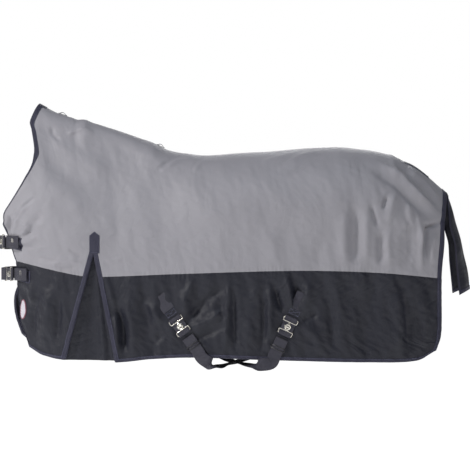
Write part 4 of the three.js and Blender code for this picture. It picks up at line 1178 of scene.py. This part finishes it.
for name, other, drop in (("front", "rear", 0), ("rear", "front", 8)):
    (barX, barZ), (headX, headZ) = hookPlaces[name]
    nearPoint, nearOut = clothAt(barX, barZ, -1)
    local = axesAt(nearPoint, nearPoint + np.array((headX, 0, headZ)) * 100, nearOut)
    bodyStitches = []
    # webbing sewn to the near panel, with the loop that holds the hook
    start = np.array((barX - headX * sewnLength, barZ - headZ * sewnLength))
    end = np.array((barX - headX * fit["folded"], barZ - headZ * fit["folded"]))
    steps = np.linspace(0, 1, 24)
    line = start + (end - start) * steps[:, None]
    sewnPath = byXz(line[:, 0], line[:, 1], -1, tapeGap + fit["thick"] / 2 + 0.3)
    loop = local(loopWebbing(0, hookLow, 1))
    acrossOne = directed(local, (0, 1, 0))
    sewn = ribbonOf("sewn", sewnPath, np.tile(acrossOne, (len(sewnPath), 1)))
    made = withLoop(f"left_{name}_surcingle_webbing_cloth", sewn, loop, acrossOne)
    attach(made, "rug")
    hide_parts(f"left_{name}_surcingle_webbing")
    fasteningPieces(f"{name}_surcingle", local, "rug", f"{name}_surcingle", True)
    stitchBox(local, -36, -17, 20, tapeGap + fit["thick"] * 2 + 0.1)
    stitchRows(f"left_{name}_surcingle_stitches", bodyStitches, "rug")

    # the belly strap, under the belly to the right hem
    (farX, farZ), (otherX, otherZ) = hookPlaces[other]
    hemX = farX + otherX * 190
    hemAt = clothAt(hemX, -800, 1)[0]
    lowest = np.array((255, 0, -872 + drop), float)
    leaving = local([(straightEnd, 0, strapMid)])[0]
    control = [
        *local([(ringBars[1] + fit["folded"] / 2, 0, strapMid), (sliderAt, 0, strapMid)]), leaving,
        local([(straightEnd + 30, 0, strapMid + 8)])[0],
        (lerp(leaving[0], lowest[0], 0.45), leaving[1] - 4, lerp(leaving[2], lowest[2], 0.8)),
        (lerp(leaving[0], lowest[0], 0.72), leaving[1] / 2, lerp(leaving[2], lowest[2], 0.93)), lowest,
        (lerp(hemX, lowest[0], 0.6), hemAt[1] / 2, lowest[2] + 8), (hemX, hemAt[1] - 6, hingeZ - 6)]
    path = smoothPath(control, 160)
    first = directed(local, (0, -1, 0))
    progress = smooth(share(np.linspace(0, 1, len(path)), 0.2, 0.7))[:, None]
    across = first * (1 - progress) + np.array((1.0, 0, 0)) * progress
    strap = ribbonOf("strap", path, across)
    loop = local(loopWebbing(ringBars[1], ringLow, -1))
    made = withLoop(f"{name}_surcingle_strap_webbing", strap, loop, first)
    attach(made, f"{name}_surcingle")
    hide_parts(f"{name}_surcingle_strap")
    # where the strap is sewn to the right side
    steps = np.linspace(0, 1, 30)
    topAt = np.array((farX, farZ + 62.0))
    lowAt = np.array((hemX, -826.0))
    line = topAt + (lowAt - topAt) * steps[:, None]
    sewnPath = byXz(line[:, 0], line[:, 1], 1, tapeGap + fit["thick"] / 2 + 0.3)
    wayOut = np.cross(unit(sewnPath[-1] - sewnPath[0]), np.array((0, 1, 0)))
    made = ribbonOf(f"right_{other}_surcingle_webbing_cloth", sewnPath, np.tile(wayOut, (len(sewnPath), 1)))
    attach(made, "rug")
    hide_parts(f"right_{other}_surcingle_webbing")
print("belly straps made")

# ---- chest fastenings ----
for name, z in (("upper", -373.0), ("lower", -505.0)):
    edge = float(chestEdgeX(z, -1))
    rightEdge = float(chestEdgeX(z, 1))
    post = np.array((edge - 24, -38.0, z))
    leftOut = clothAt(edge + 8, z, -1)[1].copy()
    leftOut[2] = 0
    out = unit(leftOut)
    along = np.array((out[1], -out[0], 0))
    loopBar = post + along * postAt + out * 8
    local = axesAt(loopBar, loopBar - along, out)
    upright = directed(local, (0, 1, 0))
    for word, side, at in (("left", -1, edge), ("right", 1, rightEdge)):
        corners = [(at + 17, -1), (at + 62, -1), (at + 62, 1), (at + 17, 1)]
        outline = [(x, z + up * 25 - (x - at) * 0.2) for x, up in corners]
        made = patchOn(f"{word}_{name}_chest_patch_cloth", outline, side, 1.7, tapeCloth, part=word)
        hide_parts(f"{word}_{name}_chest_patch")

    def overCloth(x, side, height):
        point, normal = clothAt(x, z, side)
        return point + normal * height

    webbingTop = 2 * tapeGap + 1.2 + 2.2
    left = smoothPath([local([(ringBars[1] + 12, 0, strapMid)])[0], local([(ringBars[1] + 35, 0, strapMid)])[0],
                       overCloth(edge + 30, -1, webbingTop + 10), overCloth(edge + 54, -1, webbingTop + 7)], 36)
    strap = ribbonOf("strap", left, np.tile(upright, (len(left), 1)))
    loop = local(loopWebbing(ringBars[1], ringLow, -1))
    made = withLoop(f"left_{name}_chest_strap_webbing", strap, loop, upright)
    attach(made, "left_chest_flap")
    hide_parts(f"left_{name}_chest_strap")
    strapUnder = hookLow - fit["barClear"] - fit["thick"] / 2
    right = smoothPath([*local([(-20, 0, strapUnder), (-40, 0, strapUnder)]), overCloth(rightEdge, 1, 34),
                        overCloth(rightEdge + 24, 1, 18), overCloth(rightEdge + 56, 1, webbingTop + 8)], 60)
    strap = ribbonOf("strap", right, np.tile(upright, (len(right), 1)))
    loop = local(loopWebbing(0, hookLow, 1))
    made = withLoop(f"right_{name}_chest_strap_webbing", strap, loop, upright)
    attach(made, "right_chest_flap")
    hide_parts(f"right_{name}_chest_strap")
    fasteningPieces(f"{name}_chest", local, "right_chest_flap", "left_chest_flap", False)
    # a bar that the left strap passes under on its patch
    barX = edge + 30
    point, normal = clothAt(barX, z, -1)
    over = point + normal * (webbingTop + 10)
    keeper = axesAt(over, over + np.array((1.0, 0, 0)), normal)
    bar = sweepBar(loopPath(-4, 4, 15, 0.0), 1.1, 1.1, (0, 0, 1), True, power=0.8)
    solidParts(f"{name}_chest_keeper_bar", [bar], keeper, "left_chest_flap")
print("chest straps made")

# ---- loops and patch on the spine ----
for name, placeX in (("front_crest_loop", -440), ("withers_loop", -40)):
    u = (placeX - spineEnds[0]) / spineLength
    origin = byUv(u, 0.0, 0.0)
    ahead = byUv(u + 0.01, 0.0, 0.0)
    out = rugNormal(u, 0.0)
    local = axesAt(origin, ahead, out)
    half = 18
    path = [(-1, 2.2), (-0.8, 2.6), (-0.6, 4.2), (-0.45, 6.4), (-0.3, 8.2), (0, 9),
            (0.3, 8.2), (0.45, 6.4), (0.6, 4.2), (0.8, 2.6), (1, 2.2)]
    path = smoothPath([(half * part, 0, z) for part, z in path], 60)
    wide = directed(local, (0, 1, 0))
    hoop = ribbonOf("hoop", local(path), np.tile(wide, (len(path), 1)), 20, 2.0, greyCloth)
    flatPath = local([(x, 0, 1.6) for x in np.linspace(-half, half, 12)])
    sole = ribbonOf("sole", flatPath, np.tile(wide, (12, 1)), 20, 1.6, greyCloth)
    made = joined(f"{name}_webbing", [hoop, sole])
    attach(made, "rug")
    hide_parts(name)

rows = np.linspace(958, 1058, 26)
spineU = (rows - spineEnds[0]) / spineLength
acrossV = np.linspace(-0.12, 0.12, 41)
patchHeight = np.full((26, 41), 1.7)
patchHeight[[0, -1]] = patchHeight[:, [0, -1]] = 0.2  # its edges go down to the cloth
patchRows = byUv(spineU[:, None], acrossV[None, :], patchHeight)
made = sheetOf("tail_head_patch_cloth", patchRows, tapeCloth)
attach(made, "rug")
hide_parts("tail_head_patch")
for v in (-0.108, 0.108):
    stitchAlong(byUv(spineU, np.full(26, v), 1.85), rugNormal(spineU, np.full(26, v)))
for at in (spineU[1], spineU[-2]):
    stitchAlong(byUv(np.full(41, at), acrossV * 0.9, 1.85), rugNormal(np.full(41, at), acrossV * 0.9))

# ---- the tail flap ----
flapMiddleX = through([[-572, 1224], [-551, 1222], [-459, 1208], [-309, 1173], [-232, 1153], [-170, 1130]])
flapEdgeX = through([[-588, 1172], [-458, 1158], [-379, 1152], [-310, 1134], [-200, 1131]])


def flapAt(down, across, height=0.0):
    down, across = np.broadcast_arrays(np.asarray(down, float), np.asarray(across, float))

    def bare(down, across):
        top = rugBase(np.ones(down.shape), np.abs(across) * 0.17)
        bottom = lerp(-566.0, -588.0, across**2)
        z = lerp(top[..., 2] - 1, bottom, down)
        half = lerp(88.0, 108.0, down)
        bulge = np.cos(across * np.pi / 2)
        x = lerp(flapEdgeX(z), flapMiddleX(z), bulge)
        sewnY = np.sign(across) * np.abs(top[..., 1])
        y = lerp(sewnY, half * np.sin(across * np.pi / 2), smooth(share(down, 0, 0.3)))
        return np.stack([np.maximum(x, top[..., 0] + 3), y, z], -1)

    step = 0.01
    alongDown = bare(np.minimum(1, down + step), across) - bare(np.maximum(0, down - step), across)
    alongSide = bare(down, np.minimum(1, across + step)) - bare(down, np.maximum(-1, across - step))
    normal = unit(np.cross(alongDown, alongSide))
    hang = smooth(share(down, 0.08, 0.5))
    folds = hang * (3 * np.sin(across * 5.3 + 0.8 + 1.2 * down) + 1.1 * np.sin(across * 11 + 2.5 * down))
    folds = folds + 1.2 * np.sin(down * 17 + across * 3) * hang
    return bare(down, across) + normal * (folds + height)[..., None]


flap = {"rows": 110, "columns": 60}
downs = np.linspace(0, 1, flap["rows"])
acrosses = np.linspace(-1, 1, flap["columns"])
outerFlap = flapAt(downs[:, None], acrosses[None, :], 0.0)
innerFlap = flapAt(downs[:, None], acrosses[None, :], -2.4)
flapPoints = np.concatenate([outerFlap.reshape(-1, 3), innerFlap.reshape(-1, 3)])
face = gridFaces(flap["rows"], flap["columns"])
count = flap["rows"] * flap["columns"]
flapFaces = face + [tuple(i + count for i in reversed(f)) for f in face]
flapFlat = np.concatenate([gridFlat(outerFlap)] * 2)
flapCloth = meshOf("tail_flap_cloth", flapPoints, flapFaces, flapFlat, navyCloth)
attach(flapCloth, "tail_flap")
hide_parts("tail_flap")


# The flap's tape in section, as inset from the flap's edge and height over its face; beyond the edge
# the inset is below 0.
tapeSection = [(16, 0.2), (15.6, 1.5), (12, 1.7), (6, 1.7), (0, 1.5), (-1.8, -0.2), (-1.8, -2.4), (0, -3.9),
               (8, -3.9), (15.6, -3.6), (16, -2.6)]


def flapTape(name, placeAt, beyond):
    rows = []
    for inset, height in tapeSection:
        row = flapAt(*placeAt(max(inset, 0)), height)
        rows.append(row if inset >= 0 else row + np.array(beyond))
    return sheetOf(name, np.stack(rows, 1), tapeCloth)


downFlap = np.linspace(0, 1, 140)
acrossFlap = np.linspace(-0.99, 0.99, 120)
edges = [
    flapTape("a", lambda inset: (downFlap, -(1 - inset / 105.0 * 0.62)), (0, -1.5, 0)),
    flapTape("b", lambda inset: (downFlap, 1 - inset / 105.0 * 0.62), (0, 1.5, 0)),
    flapTape("c", lambda inset: (np.full(120, 1 - inset / 415.0), acrossFlap), (0, 0, -1.5))]
made = joined("tail_flap_binding_tape", edges)
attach(made, "tail_flap")
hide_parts("tail_flap_binding")
print("tail flap made")

stitchNames = {"root": "rug_stitches", "left": "left_chest_stitches", "right": "right_chest_stitches"}
for part, name in stitchNames.items():
    place(stitchMesh(name, part), part)
print("stitches made", sum(len(found) for found in stitches.values()))

# ---- what stands for what ----
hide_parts("upper_shell")
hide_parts("lining", "polyester_fill")
for word in ("left", "right"):
    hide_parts(f"{word}_chest_upper")
    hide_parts(f"{word}_side_panel")
    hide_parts(f"{word}_chest_panel")
    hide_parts(f"{word}_chest_lining")

# ---- camera, light and floor ----
look = {"distance": 7.0, "focal": 130.8, "target": (0.2665, 0.0, -0.338), "floor": -1.62, "ambient": 0.2}
camera = bpy.data.objects.new("camera", bpy.data.cameras.new("camera"))
bpy.context.scene.collection.objects.link(camera)
camera.data.lens = look["focal"]
camera.data.sensor_width = 36
camera.location = (look["target"][0], -look["distance"], look["target"][2])
camera.rotation_euler = (math.radians(90), 0, 0)
bpy.context.scene.camera = camera


def areaLight(name, at, size, power, colour=(1, 1, 1)):
    light = bpy.data.lights.new(name, "AREA")
    light.shape = "DISK"
    light.size = size
    light.energy = power
    light.color = colour
    made = bpy.data.objects.new(name, light)
    made.location = at
    made.rotation_euler = (Vector(look["target"]) - Vector(at)).to_track_quat("-Z", "Y").to_euler()
    bpy.context.scene.collection.objects.link(made)


areaLight("key", (-3.9, -2.3, 2.3), 1.0, 235, (1.0, 0.985, 0.97))
areaLight("top", (1.2, -1.6, 3.6), 1.6, 52, (0.82, 0.9, 1.0))
areaLight("fill", (3.2, -4.6, -0.6), 1.6, 22, (1.0, 0.93, 0.85))
areaLight("back", (1.0, 4.4, 1.6), 2.4, 70)
world = bpy.data.worlds.new("studio")
world.use_nodes = True
background = world.node_tree.nodes["Background"]
background.inputs[0].default_value = (1, 1, 1, 1)
seen = add(world.node_tree, "ShaderNodeLightPath")
# the backdrop shows white, and lights the rug less than it shows
strength = ranged(world.node_tree, seen.outputs["Is Camera Ray"], look["ambient"], 1.0)
world.node_tree.links.new(strength, background.inputs[1])
bpy.context.scene.view_settings.view_transform = "Standard"
bpy.context.scene.world = world

floorMaterial, tree = startMaterial("studio_floor")
white = add(tree, "ShaderNodeRGB")
white.outputs[0].default_value = (0.86, 0.86, 0.86, 1)
floorLook = {"Roughness": 0.9, "Emission Color": (1, 1, 1, 1), "Emission Strength": 0.85}
endMaterial(tree, floorLook, white.outputs[0], None)
floorMesh = bpy.data.meshes.new("floor")
size = 40
floorCorners = [(x * size, y * size, look["floor"]) for x, y in ((-1, -1), (1, -1), (1, 1), (-1, 1))]
floorMesh.from_pydata(floorCorners, [], [(0, 1, 2, 3)])
floorMesh.materials.append(floorMaterial)
floor = bpy.data.objects.new("floor", floorMesh)
bpy.context.scene.collection.objects.link(floor)
